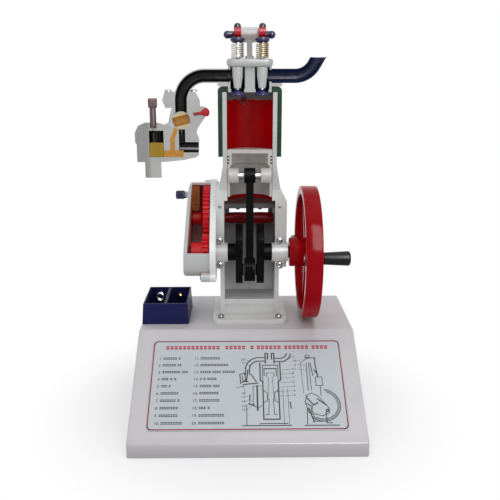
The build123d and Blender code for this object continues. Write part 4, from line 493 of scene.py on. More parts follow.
def recipe(name, *sizes):
    """A Geometry Nodes tree with one named input for each of its sizes; gives the tree and its inputs."""
    kinds = {"Geometry": "Geometry", "Finish": "Material", "Dull finish": "Material"}
    kinds.update({"Flutes": "Int", "Spokes": "Int", "Place": "Vector"})
    tree = bpy.data.node_groups.new(name, "GeometryNodeTree")
    for size in ("Geometry", *sizes):
        tree.interface.new_socket(size, in_out="INPUT", socket_type="NodeSocket" + kinds.get(size, "Float"))
    tree.interface.new_socket("Geometry", in_out="OUTPUT", socket_type="NodeSocketGeometry")
    return tree, tree.nodes.new("NodeGroupInput").outputs


def shaped(tree, kind, fed=(), **options):
    """A step whose kind belongs to Geometry Nodes alone."""
    return step(tree, "GeometryNode" + kind, fed, **options)


def vector(tree, *parts):
    """A vector of up to three numbers."""
    return step(tree, "ShaderNodeCombineXYZ", dict(enumerate(parts)))


def plus(first, second):
    return reckon("ADD", first, second)


def minus(first, second):
    return reckon("SUBTRACT", first, second)


def seated(tree, sizes, shape, loose_turn=2 * math.pi):
    """Stands a shape on every seat, along the seat's aim and turned at random by up to loose_turn."""
    aim = shaped(tree, "InputNamedAttribute", {"Name": "aim"}, data_type="FLOAT_VECTOR")
    size = shaped(tree, "InputNamedAttribute", {"Name": "size"}, data_type="FLOAT")
    upright = step(tree, "FunctionNodeAlignRotationToVector", {"Vector": aim}, axis="Z")
    chance = step(tree, "FunctionNodeRandomValue", {3: loose_turn, "Seed": 7}, out=1, data_type="FLOAT")
    spin = step(tree, "FunctionNodeAxisAngleToRotation", {"Angle": chance})
    turning = {"Rotation": upright, "Rotate By": spin}
    turned_up = step(tree, "FunctionNodeRotateRotation", turning, rotation_space="LOCAL")
    fed = {"Points": sizes["Geometry"], "Instance": shape, "Rotation": turned_up, "Scale": size}
    return shaped(tree, "InstanceOnPoints", fed)


def ended(tree, shape, finishes):
    """Ends a tree: the instances become real and each finish goes on its selection."""
    shape = shaped(tree, "RealizeInstances", {"Geometry": shape})
    for finish, chosen in finishes:
        picked = {"Selection": chosen} if chosen else {}
        shape = shaped(tree, "SetMaterial", {"Geometry": shape, "Material": finish, **picked})
    feed(tree.nodes.new("NodeGroupOutput"), {0: shape})


def formed(name, node, tree, sizes, corner, seats=((0, 0, 0, 0, 0, 1),), stands_for=True):
    """Runs a tree once on its seats (place, aim and size) and installs the plain mesh it makes for a node."""
    places = bpy.data.meshes.new(name)
    places.from_pydata([Vector(seat[:3]) / 1000 for seat in seats], [], [])
    places.attributes.new("aim", "FLOAT_VECTOR", "POINT")
    places.attributes.new("size", "FLOAT", "POINT")
    for k, seat in enumerate(seats):
        places.attributes["aim"].data[k].vector = seat[3:6]
        places.attributes["size"].data[k].value = seat[6] if len(seat) > 6 else 1.0
    piece = placed(name, places)
    making = piece.modifiers.new("making", "NODES")
    making.node_group = tree
    for item in tree.interface.items_tree:
        if item.in_out == "INPUT" and item.name in sizes:
            making[item.identifier] = sizes[item.name]
    bpy.context.view_layer.update()
    made = bpy.data.meshes.new_from_object(piece.evaluated_get(bpy.context.evaluated_depsgraph_get()))
    piece.modifiers.remove(making)
    piece.data = made
    for attribute in ("aim", "size"):
        if attribute in made.attributes:
            made.attributes.remove(made.attributes[attribute])
    finishes = list(made.materials)
    kept = [finish for finish in finishes if finish]
    numbers = [kept.index(finishes[face.material_index]) for face in made.polygons]
    made.materials.clear()
    for finish in kept:
        made.materials.append(finish)
    for face, chosen in zip(made.polygons, numbers):
        face.material_index = chosen
        face.use_smooth = True
    made.set_sharp_from_angle(angle=math.radians(corner))
    return installed(piece, node, stands_for)


# a wound spring: a helix whose pitch closes up towards both ends, with round wire along it
cell_coil = {"Coil radius": 0.0050, "Height": 0.0098, "Turns": 4.0, "Wire radius": 0.0005, "Closing": 0.2}
spring, coil = recipe("wound_spring", *cell_coil, "Finish")
winding = {"Resolution": 28, "Rotations": coil["Turns"], "Height": 0.0}
winding.update({"Start Radius": coil["Coil radius"], "End Radius": coil["Coil radius"]})
helix = shaped(spring, "CurveSpiral", winding)
along = shaped(spring, "SplineParameter")
eased = step(spring, "ShaderNodeMapRange", {"Value": along}, interpolation_type="SMOOTHSTEP")
open_part = times(eased, coil["Closing"])
even_part = times(along, minus(1.0, coil["Closing"]))
free_height = minus(coil["Height"], times(coil["Wire radius"], 2.0))
rise = times(plus(open_part, even_part), free_height)
lift = vector(spring, 0, 0, plus(rise, coil["Wire radius"]))
lifted = shaped(spring, "SetPosition", {"Geometry": helix, "Offset": lift})
round_wire = shaped(spring, "CurvePrimitiveCircle", {"Resolution": 8, "Radius": coil["Wire radius"]})
drawing = {"Curve": lifted, "Profile Curve": round_wire, "Fill Caps": True}
wire = shaped(spring, "CurveToMesh", drawing)
ended(spring, seated(spring, coil, wire), ((coil["Finish"], None),))

bay_mid_z = 123.5
coil_seats = ((-120.45, 81.67, bay_mid_z, 0, -1, 0), (-92.05, 10.67, bay_mid_z, 0, 1, 0))
coil_sizes = {**cell_coil, "Finish": spring_steel}
formed("contact_coil_wire", "contact_coil", spring, coil_sizes, corner=60, seats=coil_seats)

# Castings are rumbled, filled and sprayed with a white stove enamel, thick enough to round the edges.
# The crankcase is the lower half; its room behind the cut is grey, and dark red under the piston.
def enamel(name, shade):
    """White stove enamel; each casting gets its own brightness of it, as painted light and shade."""
    colour = (shade, shade * 1.015, shade * 0.99)
    return coat(name, colour, rough=0.34, gloss=0.45, clear=0.12, blotch=38, peel=700, corner_shade=0.55)


# the same white enamel at a different brightness on each casting: painted light and shade
white_enamel = enamel("white_enamel", 0.60)
case_enamel = enamel("case_enamel", 0.66)
room_grey = coat("room_grey", (0.33, 0.335, 0.335), rough=0.5, gloss=0.3, blotch=60, vary=0.12, peel=500, depth=0.08)
bore_red = coat("bore_red", (0.36, 0.0015, 0.0030), gloss=0.05, blotch=70, vary=0.22, peel=320)
crank_x, crank_y, crank_z = 6.25, 33.57, 199.7

# the room is darkest at the shaft's height and pale near its floor, as painted shade and painted light, and red at its
# top
graded(room_grey, "Z", crank_z - 2, crank_z - 66, (0.80, 0.80, 0.79))
graded(room_grey, "Z", crank_z + 55, crank_z + 60, (0.17, 0.040, 0.035))


def from_crank(spot):
    """A place in mm, measured from the crankshaft's middle."""
    return spot.x - crank_x, spot.y - crank_y, spot.z - crank_z


def inside_case(middle, normal):
    x, y, z = from_crank(middle)
    if normal.z > 0.3 and z > 60:
        return 0
    if 0.3 < y < 74.9 and 64 < z < 84.2 and abs(x) < 34.2 and abs(normal.z) < 0.6:
        return 2
    return int(abs(x) < 34.2 and y > 0.4 and -67 < z < 84 and y < 74.9)


dressed("crankcase", [case_enamel, room_grey, bore_red], edge=0.7, pick=inside_case)
dressed("bearing_caps", case_enamel, edge=0.8)
dressed("main_bushes", bright_brass, edge=0.2)

# The case, the gear case and the carburettor are held by steel pan-head screws with a cross recess.
# The heads are bright; the two small ones in the cheeks are dull and sit almost flush.
chrome = coat("chrome", (0.30, 0.30, 0.31), rough=0.15, blotch=600, vary=0.10, peel=2500, depth=0.03, metal=1.0)
dull_steel = coat("dull_steel", (0.30, 0.27, 0.255), rough=0.5, blotch=500, vary=0.2, peel=2200, metal=0.6)
pan_sizes = {"Head radius": 0.0044, "Head height": 0.0026, "Recess width": 0.00135, "Recess depth": 0.0014}
pan_sizes["Shank radius"] = 0.0020
pan_screw, pan = recipe("pan_head_screw", *pan_sizes, "Shank length", "Finish", "Dull finish")


def moved(tree, shape, *way):
    """Moves a shape along a vector."""
    return shaped(tree, "Transform", {"Geometry": shape, "Translation": vector(tree, *way)})


def spots(tree):
    """The x, y and z of each point of a shape."""
    return step(tree, "ShaderNodeSeparateXYZ", {0: shaped(tree, "InputPosition")}).node.outputs


ball = shaped(pan_screw, "MeshUVSphere", {"Segments": 28, "Rings": 16, "Radius": 1.0})
spot_x, spot_y, spot_z = spots(pan_screw)
ball_z = reckon("POWER", reckon("MAXIMUM", spot_z, 0.0), 0.55)
pan_x, pan_y = (times(way, pan["Head radius"]) for way in (spot_x, spot_y))
pan_place = vector(pan_screw, pan_x, pan_y, times(ball_z, pan["Head height"]))
head = shaped(pan_screw, "SetPosition", {"Geometry": ball, "Position": pan_place})
arm_l = times(pan["Recess width"], 3.6)
arm_h = times(pan["Recess depth"], 2.0)
for arm_x, arm_y in ((arm_l, pan["Recess width"]), (pan["Recess width"], arm_l)):
    arm = shaped(pan_screw, "MeshCube", {"Size": vector(pan_screw, arm_x, arm_y, arm_h)})
    arm = moved(pan_screw, arm, 0, 0, pan["Head height"])
    head = shaped(pan_screw, "MeshBoolean", {"Mesh 1": head, "Mesh 2": arm}, operation="DIFFERENCE")
shank = {"Vertices": 20, "Radius": pan["Shank radius"], "Depth": pan["Shank length"]}
shank = shaped(pan_screw, "MeshCylinder", shank)
shank = moved(pan_screw, shank, 0, 0, times(pan["Shank length"], -0.46))
whole_screw = shaped(pan_screw, "JoinGeometry", {"Geometry": [head, shank]})
small = shaped(pan_screw, "InputNamedAttribute", {"Name": "size"}, data_type="FLOAT")
small = reckon("LESS_THAN", small, 0.7)
ended(pan_screw, seated(pan_screw, pan, whole_screw), ((pan["Finish"], None), (pan["Dull finish"], small)))


def screws(name, node, seats, shank_l, dull=dull_steel):
    """Pan-head screws on seats given from the crankshaft's middle: place, aim and size."""
    sizes = {**pan_sizes, "Shank length": shank_l, "Finish": chrome, "Dull finish": dull}
    seats = [(s[0] + crank_x, s[1] + crank_y, s[2] + crank_z, *s[3:]) for s in seats]
    formed(name, node, pan_screw, sizes, corner=40, seats=seats, stands_for=name != "block_screw")


case_seats = [(side * 39, -13, -86.2, 0, 0, 1) for side in (-1, 1)]
case_seats += [(side * 39.75, -5, end * 16.6, 0, -1, 0) for side in (-1, 1) for end in (-1, 1)]
case_seats += [(side * 39.75, 0, 62, 0, -1, 0, 0.59) for side in (-1, 1)]
screws("case_screw_set", "case_screws", case_seats, shank_l=0.0065)

# The cylinder is a barrel with a flared foot. Its bore is brushed in bright red up to a wavy edge,
# and the combustion space above that is left in a brownish grey.
cylinder_red = bore_red.copy()
cylinder_red.name = "cylinder_red"
graded(cylinder_red, "Z", crank_z + 201.4, crank_z + 202.0, (0.160, 0.140, 0.140), ragged=6)


def inside_bore(middle, normal):
    x, y = middle.x - crank_x, middle.y - crank_y
    return int(y > 0.2 and math.hypot(x, y) < 30.5 and abs(normal.z) < 0.6)


# the barrel's enamel is set darker: painted shade
barrel_enamel = enamel("barrel_enamel", 0.52)
dressed("cylinder", [barrel_enamel, cylinder_red], edge=0.5, pick=inside_bore)

# The water jacket is a green enamelled sleeve, turned in at its top over the barrel.
jacket_green = coat("jacket_green", (0.018, 0.052, 0.028), gloss=0.10, blotch=55, vary=0.30, peel=600)
dressed("water_jacket", jacket_green, edge=0.9)

# The head holds both ports. Its outside and cut faces are white, the inlet way is black
# and the exhaust way is navy; the cones round the valve stems are white guides.
port_black = coat("port_black", (0.0060, 0.0060, 0.0065), rough=0.22, gloss=0.16, blotch=60, vary=0.2, peel=500)
port_navy = coat("port_navy", (0.0075, 0.0125, 0.044), rough=0.24, gloss=0.14, blotch=60, vary=0.2, peel=500)
# the head's enamel is set darker: painted shade
head_enamel = enamel("head_enamel", 0.46)
inlet_x, deck_z = -87.6, 249.6


def head_paint(middle, normal):
    x, y, z = from_crank(middle)
    inside = 5 < abs(x) < 27.4 and 205 < z < 239.7 or 27 < abs(x) < 33 and 218.5 < z < 238.5
    if 0.2 < y < 9.4 and inside and not normal.z > 0.9 and abs(normal.x) < 0.999:
        return 1 if x < 0 else 2
    return 0


def deck_rim(edge):
    """The deck's top edges, which the casting has well rounded."""
    level = all(abs(v.co.z * 1000 - crank_z - deck_z) < 0.05 for v in edge.verts)
    return level and len(edge.link_faces) == 2 and min(abs(f.normal.z) for f in edge.link_faces) < 0.5


dressed("cylinder_head", [head_enamel, port_black, port_navy], edge=0.6, pick=head_paint, soften=(deck_rim, 3.4))
dressed("valve_guides", barrel_enamel, edge=0.5)


def pipe_paint(middle, normal):
    return int(middle.y - crank_y > 0.1 and normal.y < -0.02 and abs(normal.z) < 0.999)


def into_port(spot):
    """Each pipe's end fits closely in the head, and the flange of the inlet pipe draws in at its top."""
    off, out = spot.x - crank_x, spot.x - crank_x - inlet_x
    if abs(off) < 28.3:
        return Vector((spot.x - math.copysign(0.95, off), spot.y, spot.z))
    if 14 < abs(out) < 30 and 206 < spot.z - crank_z < 210 and off < -60:
        return Vector((spot.x - out * (0.14 if out < 0 else 0.24), spot.y, spot.z))
    return spot


dressed("inlet_pipe", [head_enamel, port_black], edge=0.3, pick=pipe_paint, bend=into_port)
dressed("exhaust_pipe", port_navy, edge=0.3, bend=into_port)

# The valves are turned and painted blue at the head; their stems are bright.
# Navy collars hold the springs, and steel pushrods come up behind the barrel.
valve_blue = coat("valve_blue", (0.014, 0.013, 0.088), rough=0.26, gloss=0.4, blotch=120, vary=0.16)
knob_navy = coat("knob_navy", (0.014, 0.012, 0.068), rough=0.26, gloss=0.4, blotch=120, vary=0.2)
cap_navy = coat("cap_navy", (0.009, 0.009, 0.026), rough=0.22, gloss=0.4, blotch=120, vary=0.2)
rocker_red = coat("rocker_red", (0.46, 0.006, 0.014), rough=0.28, gloss=0.35, blotch=80, vary=0.16, peel=700)
drawn_steel = coat("drawn_steel", (0.36, 0.35, 0.35), rough=0.32, blotch=400, vary=0.14, peel=2600, metal=1.0)
spring_bronze = coat("spring_bronze", (0.34, 0.28, 0.17), rough=0.32, blotch=500, vary=0.2, peel=2500, metal=1.0)


def turned(name, outline, foot, finish, node, aim=(0, 0, 1), stands_for=False):
    """A turned piece: outline of radius and height in mm, standing on its foot along its aim."""
    steps, corner = 40, math.radians(34)
    edit = bmesh.new()
    turns = [2 * math.pi * k / steps for k in range(steps)]
    rings = []
    for radius, height in outline:
        ring = [(radius * math.cos(a), radius * math.sin(a), height) for a in turns] if radius else [(0, 0, height)]
        rings.append([edit.verts.new(spot) for spot in ring])
    for lower, upper in zip(rings, rings[1:]):
        for k in range(steps):
            j = (k + 1) % steps
            if len(lower) == 1:
                edit.faces.new((lower[0], upper[j], upper[k]))
            elif len(upper) == 1:
                edit.faces.new((lower[k], lower[j], upper[0]))
            else:
                edit.faces.new((lower[k], lower[j], upper[j], upper[k]))
    bmesh.ops.recalc_face_normals(edit, faces=edit.faces)
    turn = Vector(aim).normalized().to_track_quat("Z", "Y").to_matrix()
    for spot in edit.verts:
        spot.co = (turn @ spot.co + Vector(foot) + Vector((crank_x, crank_y, crank_z))) / 1000
    for face in edit.faces:
        face.smooth = True
    piece = from_edit(name, edit, finish)
    piece.data.set_sharp_from_angle(angle=corner)
    installed(piece, node, stands_for)


def valve_paint(middle, normal):
    return int(middle.z - crank_z > 218)


valve_x, collar_z, nose_z = 15.5, 268.3, 287.5
spring_wire = {"Coil radius": 0.0076, "Height": 0.0187, "Turns": 8.0, "Wire radius": 0.00072, "Closing": 0.2}
collar = ((0, 0), (6, 0), (6.6, 0.3), (8.6, 2.2), (9, 3), (9.1, 4.2), (8.8, 5.2), (8, 6), (7, 6.3), (0, 6.3))
dome = ((0, -3.0), (4.3, -3.0), (4.5, -1.4), (4.5, 0.6), (4.1, 2.2), (3.1, 3.6), (1.7, 4.4), (0, 4.7))
for side, stem_x, spring_finish in (("inlet", -valve_x, spring_steel), ("exhaust", valve_x, spring_bronze)):
    dressed("valve_" + side, [valve_blue, drawn_steel], edge=0.3, pick=valve_paint)
    turned("retainer_" + side, collar, (stem_x, 0, collar_z), knob_navy, "spring_retainer_" + side, stands_for=True)
    dressed("rocker_" + side, rocker_red, edge=2.0, segments=4)
    turned("rocker_cap_" + side, dome, (stem_x, 1.0, nose_z), cap_navy, "rocker_" + side)
    dressed("adjuster_" + side, knob_navy, edge=0.3)
    dressed("pushrod_" + side, drawn_steel, edge=0.3)
    dressed("tappet_" + side, knob_navy, edge=0.4)
    seat = (stem_x + crank_x, crank_y, deck_z + crank_z, 0, 0, 1)
    sizes = {**spring_wire, "Finish": spring_finish}
    valve_spring = formed("valve_spring_wire_" + side, "valve_spring_" + side, spring, sizes, corner=60, seats=(seat,))
    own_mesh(valve_spring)
dressed("rocker_post", white_enamel, edge=1.6, segments=3)
dressed("rocker_shaft", knob_navy, edge=0.3)

# The carburettor is cut through: a white body with black air ways, a yellow float in its chamber,
# a golden fuel way, jet and throttle barrel, a red mixture screw and a steel tickler on top.
carb_enamel = coat(
    "carb_enamel", (0.44, 0.445, 0.425), rough=0.36, gloss=0.4, clear=0.08, blotch=60, vary=0.07, peel=700, corner_shade=0.6
)
# painted shade: the body darkens towards its left side
graded(carb_enamel, "X", crank_x - 126, crank_x - 133, (0.285, 0.285, 0.275))
gold_lacquer = coat("gold_lacquer", (0.50, 0.22, 0.018), gloss=0.4, blotch=130, vary=0.22, peel=800, corner_shade=0.7)
float_yellow = coat("float_yellow", (0.34, 0.20, 0.002), rough=0.32, gloss=0.3, blotch=120, vary=0.16, peel=800)
graded(float_yellow, "Z", crank_z + 145.3, crank_z + 145.6, (0.012, 0.010, 0.008))
cream_lacquer = coat("cream_lacquer", (0.55, 0.47, 0.30), rough=0.32, gloss=0.4, blotch=120, vary=0.10, peel=800)
pink_steel = coat("pink_steel", (0.115, 0.080, 0.085), rough=0.36, blotch=400, vary=0.16, peel=2400, metal=1.0)
float_x = -123.6


def carb_paint(middle, normal):
    x, y, z = from_crank(middle)
    chamber = -129.8 < x < -110.6 and 126 < z < 160.8 and math.hypot(x + 120.2, y) < 9.6
    air_way = -91.5 < x < -54 and 132 < z < 162.4 and abs(y) < 7
    throat = -95.2 < x < -80.0 and 180 < z < 198.7 and math.hypot(x - inlet_x, y) < 7.8
    return int(0.2 <= y <= 12.2 and (chamber or air_way or throat))


def float_paint(middle, normal):
    x, y, z = from_crank(middle)
    return int(z > 147 and math.hypot(x - float_x, y) < 2.2)


def ear_below(spot):
    """The flange's ears draw in towards their lower face."""
    off = spot.x - crank_x - inlet_x
    low = abs(spot.z - crank_z - 189.0) < 0.1 and off < -14
    return Vector((spot.x - off * 0.16, spot.y, spot.z)) if low else spot


dressed("carburettor_body", [carb_enamel, port_black], edge=0.6, pick=carb_paint, bend=ear_below)
dressed("fuel_channel", gold_lacquer, edge=0.3)
dressed("float_drum", [float_yellow, port_black], edge=0.4, pick=float_paint)
dressed("mixture_screw", rocker_red, edge=0.3)
carb_seats = [(x, 6, 209.4, 0, 0, 1) for x in (-104.0, -71.2)]
screws("carb_screw_set", "carb_screws", carb_seats, shank_l=0.020)
throttle_z = 173.4


def barrel_paint(middle, normal):
    x, y, z = middle.x - crank_x - inlet_x, middle.y - crank_y, middle.z - crank_z - throttle_z
    tilt = math.radians(15)
    across = -x * math.sin(tilt) + z * math.cos(tilt)
    return int(y < 0.2 and abs(across) > 6 or y > 0.2 and math.hypot(x, z) > 10.5)


dressed("throttle_barrel", [gold_lacquer, cream_lacquer], edge=0.4, pick=barrel_paint)

# a fluted knob: its side runs in and out round the axis, and its ends are drawn in
tickler_sizes = {"Radius": 0.0058, "Height": 0.0119, "Flutes": 12, "Flute depth": 0.0007, "Stem radius": 0.0041}
fluted_knob, knob = recipe("fluted_knob", *tickler_sizes, "Stem length", "Finish")
blank = {"Vertices": times(knob["Flutes"], 8.0), "Side Segments": 16, "Radius": 1.0, "Depth": 2.0}
blank = shaped(fluted_knob, "MeshCylinder", blank)
spot_x, spot_y, spot_z = spots(fluted_knob)
wave = reckon("COSINE", times(reckon("ARCTAN2", spot_y, spot_x), knob["Flutes"]))
wave = reckon("POWER", times(plus(wave, 1.0), 0.5), 2.0)
end_share = reckon("POWER", reckon("ABSOLUTE", spot_z), 9.0)
drawn_in = times(end_share, times(knob["Radius"], 0.16))
cut_in = plus(times(wave, knob["Flute depth"]), drawn_in)
side_r = minus(knob["Radius"], cut_in)
half_h = times(knob["Height"], 0.5)
knob_x, knob_y = (times(way, side_r) for way in (spot_x, spot_y))
knob_place = vector(fluted_knob, knob_x, knob_y, times(plus(spot_z, 1.0), half_h))
fluted = shaped(fluted_knob, "SetPosition", {"Geometry": blank, "Position": knob_place})
stem = {"Vertices": 32, "Radius": knob["Stem radius"], "Depth": knob["Stem length"]}
stem = shaped(fluted_knob, "MeshCylinder", stem)
stem = moved(fluted_knob, stem, 0, 0, times(knob["Stem length"], -0.5))
whole_knob = shaped(fluted_knob, "JoinGeometry", {"Geometry": [fluted, stem]})
ended(fluted_knob, seated(fluted_knob, knob, whole_knob, loose_turn=0.0), ((knob["Finish"], None),))

tickler_sizes.update({"Stem length": 0.0228, "Finish": pink_steel})
tickler_seat = (float_x + crank_x, crank_y, 189.3 + crank_z, 0, 0, 1)
formed("tickler_button", "tickler", fluted_knob, tickler_sizes, corner=40, seats=(tickler_seat,))

# The gear case is a white plate and a deep white cover cut away at the front; its inside is brown.
# The cover leans inwards at its top. Two red gears run in it, with the brown block and the breaker.
case_brown = coat("case_brown", (0.74, 0.53, 0.49), rough=0.5, gloss=0.2, blotch=60, vary=0.25, peel=500)
block_brown = coat("block_brown", (0.43, 0.125, 0.020), rough=0.36, gloss=0.12, blotch=150, vary=0.3)
dark_bronze = coat("dark_bronze", (0.20, 0.11, 0.035), rough=0.45, gloss=0.3, blotch=300, vary=0.2, peel=1800)
gear_red = coat("gear_red", (0.78, 0.016, 0.026), gloss=0.15, blotch=90, vary=0.14, peel=700)


def cover_paint(middle, normal):
    x, y, z = from_crank(middle)
    if not -83 < x < -52.6:
        return 0
    from_middle = Vector((0, y - 27.7, z - 18.0))
    return int(normal.x > 0.9 and x < -80 or (from_middle.dot(normal) < -5 and abs(normal.x) < 0.5))


def cover_lean(spot):
    share = min(1.0, max(0.0, (-53 - (spot.x - crank_x)) / 30))
    return Vector((spot.x + share * (0.05 * (spot.z - crank_z) - 0.4), spot.y, spot.z))


def block_lean(spot):
    x, z = spot.x - crank_x, spot.z - crank_z
    taller = 3.4 if z > 77 else 0
    return Vector((spot.x + (0.967 * (0.05 * z - 0.4) if x < -75 else 0), spot.y, spot.z + taller))


# the plate's enamel is set lighter and the cover's darker: painted light and shade
plate_enamel = enamel("plate_enamel", 0.80)
cover_enamel = enamel("cover_enamel", 0.52)
dressed("gearcase_plate", plate_enamel, edge=0.6)
dressed("gearcase_cover", [cover_enamel, case_brown], edge=0.5, pick=cover_paint, bend=cover_lean)
dressed("insulator_block", block_brown, edge=0.9, bend=block_lean)
dressed("breaker_arm", spring_steel, edge=0.3)
dressed("terminal", bright_brass, edge=0.2)
for node in ("cam_gear", "crank_gear", "breaker_cam"):
    dressed(node, gear_red, edge=0.25)
gearcase_seats = [(-63.5, y, z, -1, 0, 0) for y, z in ((-23.62, -28.15), (74.08, -15.5), (90.55, 77.88))]
screws("gearcase_screw_set", "gearcase_screws", gearcase_seats, shank_l=0.017)
edit = bmesh.new()
bmesh.ops.create_cube(edit, size=1)
skirt_box = ((crank_x, -79.2, -68.5), (crank_y, 48.0, 51.4), (crank_z, 47.0, 55.0))
for spot in edit.verts:
    spot.co = [(base + (low if at < 0 else high)) / 1000 for at, (base, low, high) in zip(spot.co, skirt_box)]
for face in edit.faces:
    face.smooth = True
block_skirt = from_edit("block_skirt", edit, block_brown)
rounding = block_skirt.modifiers.new("rounding", "BEVEL")
rounding.width = 0.0009
rounding.segments = 3
installed(block_skirt, "insulator_block", stands_for=False)
screws("block_screw", "insulator_block", [(-74.0, 48.0, 57.0, 0, -1, 0, 0.5)], dull=dark_bronze, shank_l=0.005)

# The terminal comes out through a white boss and a bright ring; its navy knob is fluted.
boss_outline = ((0, -2.0), (4.6, -2.0), (4.6, 1.4), (4.3, 2.2), (4.1, 3.4), (0, 3.4))
ring_outline = ((0, 0), (4.6, 0), (5.0, 0.4), (5.0, 2.0), (4.6, 2.4), (0, 2.4))
turned("terminal_boss", boss_outline, (-83.6, 53, 69), white_enamel, "gearcase_cover", aim=(-1, 0, 0))
turned("terminal_ring", ring_outline, (-87.0, 53, 69), chrome, "terminal", aim=(-1, 0, 0))
terminal_sizes = {"Radius": 0.0059, "Height": 0.0120, "Flutes": 16, "Flute depth": 0.0006, "Stem radius": 0.0020}
terminal_sizes.update({"Stem length": 0.0030, "Finish": knob_navy})
terminal_seat = (-89.5 + crank_x, 53 + crank_y, 69 + crank_z, -1, 0, 0)
formed("terminal_knob_fluted", "terminal_knob", fluted_knob, terminal_sizes, corner=40, seats=(terminal_seat,))

# Crankshaft, connecting rod and camshaft: black enamel on the crank and rod, dark red on the cams.
# The piston is a warm grey inside with black rings and a bright pin.
crank_black = coat("crank_black", (0.0042, 0.0042, 0.0042), rough=0.32, gloss=0.04, blotch=70, vary=0.2, peel=700)
cam_red = coat("cam_red", (0.36, 0.010, 0.013), rough=0.32, gloss=0.08, blotch=120, vary=0.25, peel=700)
piston_grey = coat("piston_grey", (0.54, 0.51, 0.48), rough=0.42, gloss=0.35, blotch=50, vary=0.10, peel=700, corner_shade=0.3)
dressed("crankshaft", crank_black, edge=0.5)
dressed("connecting_rod", crank_black, edge=0.6)
dressed("camshaft", cam_red, edge=0.3)
dressed("piston", piston_grey, edge=0.4)
dressed("piston_rings", crank_black, edge=0.15)
dressed("gudgeon_pin", drawn_steel, edge=0.3)

# The flywheel is a red enamelled casting: a deep rim, a long hub, six tapered spokes that flare
# at both ends, and a boss for the handle's spindle.
wheel_red = coat("wheel_red", (0.30, 0.0018, 0.0055), rough=0.08, gloss=0.05, blotch=40, vary=0.14, peel=420)
rim_sizes = {"Wheel radius": 0.0883, "Rim depth": 0.0110, "Rim width": 0.0209, "Corner": 0.0016}
hub_sizes = {"Hub radius": 0.0195, "Hub length": 0.0334, "Hub shift": -0.00845, "Bore radius": 0.00803}
spoke_sizes = {"Spokes": 6, "First spoke": math.radians(173), "Spoke width": 0.0155, "Spoke thickness": 0.0078}
boss_sizes = {"Boss out": 0.0680, "Boss radius": 0.0085, "Boss bore": 0.0030}
wheel_place = ((77.75 + crank_x) / 1000, crank_y / 1000, crank_z / 1000)
wheel_sizes = {**rim_sizes, **hub_sizes, **spoke_sizes, **boss_sizes, "Place": wheel_place, "Finish": wheel_red}
wheel, part = recipe("spoked_wheel", *wheel_sizes)


def rounded(wide, high):
    """A rectangle with the casting's rounded corners."""
    plain = shaped(wheel, "CurvePrimitiveQuadrilateral", {"Width": wide, "Height": high})
    fillet = {"Curve": plain, "Radius": part["Corner"], "Count": 4}
    return shaped(wheel, "FilletCurve", fillet, mode="POLY")


def hoop(outer, inner, width, fineness):
    """A ring of rounded rectangular section about the wheel's axis."""
    middle_r = times(plus(outer, inner), 0.5)
    path = shaped(wheel, "CurvePrimitiveCircle", {"Resolution": fineness, "Radius": middle_r})
    section = rounded(minus(outer, inner), width)
    return shaped(wheel, "CurveToMesh", {"Curve": path, "Profile Curve": section})


rim_inner = minus(part["Wheel radius"], part["Rim depth"])
rim = hoop(part["Wheel radius"], rim_inner, part["Rim width"], 160)
hub = hoop(part["Hub radius"], part["Bore radius"], part["Hub length"], 72)
hub = moved(wheel, hub, 0, 0, part["Hub shift"])
boss = hoop(part["Boss radius"], part["Boss bore"], part["Rim width"], 48)
boss_x = times(part["Boss out"], reckon("COSINE", part["First spoke"]))
boss_y = times(part["Boss out"], reckon("SINE", part["First spoke"]))
boss = moved(wheel, boss, boss_x, boss_y)
spoke_start = vector(wheel, times(part["Bore radius"], 1.3))
half_rim = times(part["Rim depth"], 0.5)
spoke_end = vector(wheel, minus(part["Wheel radius"], half_rim))
spine = shaped(wheel, "CurvePrimitiveLine", {"Start": spoke_start, "End": spoke_end})
spine = shaped(wheel, "ResampleCurve", {"Curve": spine, "Count": 26})
share = shaped(wheel, "SplineParameter")
middle_off = reckon("ABSOLUTE", minus(times(share, 2.0), 1.05))
flare = times(reckon("POWER", middle_off, 5.0), 0.30)
narrowing = minus(1.0, times(share, 0.24))
thickness = {"Curve": spine, "Radius": plus(narrowing, flare)}
spine = shaped(wheel, "SetCurveRadius", thickness)
bar = {"Curve": spine, "Profile Curve": rounded(part["Spoke width"], part["Spoke thickness"]), "Fill Caps": True}
spoke = shaped(wheel, "CurveToMesh", bar)
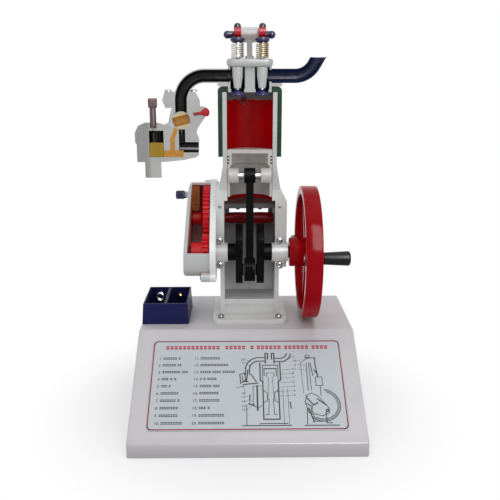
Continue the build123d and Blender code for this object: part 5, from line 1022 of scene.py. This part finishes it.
middles = shaped(wheel, "Points", {"Count": part["Spokes"]})
pitch = reckon("DIVIDE", 2 * math.pi, part["Spokes"])
each_turn = times(shaped(wheel, "InputIndex"), pitch)
each_turn = vector(wheel, 0, 0, plus(part["First spoke"], each_turn))
star = {"Points": middles, "Instance": spoke, "Rotation": each_turn}
spokes = shaped(wheel, "InstanceOnPoints", star)
casting = shaped(wheel, "JoinGeometry", {"Geometry": [rim, hub, boss, spokes]})
upright = {"Geometry": casting, "Translation": part["Place"], "Rotation": (math.pi / 2, 0, math.pi / 2)}
ended(wheel, shaped(wheel, "Transform", upright), ((part["Finish"], None),))
formed("flywheel_casting", "flywheel", wheel, wheel_sizes, corner=12)

# The grip is black and turns on its bright spindle; a grub screw holds the wheel to its shaft.
grip_black = coat("grip_black", (0.0090, 0.0090, 0.0095), rough=0.28, gloss=0.14, blotch=120, vary=0.2, peel=1200)
dressed("handle_grip", grip_black, edge=0.5)
dressed("handle_spindle", chrome, edge=0.2)
dressed("hub_screw", chrome, edge=0.2)

# The spark plug screws into the back of the barrel: a dull burnt point, a steel body,
# a white ceramic neck and a brass end.
plug_burnt = coat("plug_burnt", (0.19, 0.010, 0.012), rough=0.6, gloss=0.2, blotch=400, vary=0.3, peel=1500)
plug_ceramic = coat("plug_ceramic", (0.62, 0.60, 0.55), rough=0.18, gloss=0.5, clear=0.3, blotch=120)
plug_start = Vector((-7.5 + crank_x, 27 + crank_y, 197 + crank_z))
plug_way = Vector((0, math.cos(math.radians(30)), math.sin(math.radians(30))))


def plug_paint(middle, normal):
    along = (middle - plug_start).dot(plug_way)
    if along < 4:
        return 0
    if along < plug_hex_to:
        return 1
    return 2 if along < plug_neck_to else 3


plug_end = max((Vector(v.co) * 1000 - plug_start).dot(plug_way) for v in frame["nodes"]["spark_plug"].data.vertices)
plug_neck_to = plug_end - 6.2
plug_hex_to = plug_neck_to - 16.6
dressed("spark_plug", [plug_burnt, drawn_steel, plug_ceramic, bright_brass], edge=0.3, pick=plug_paint)
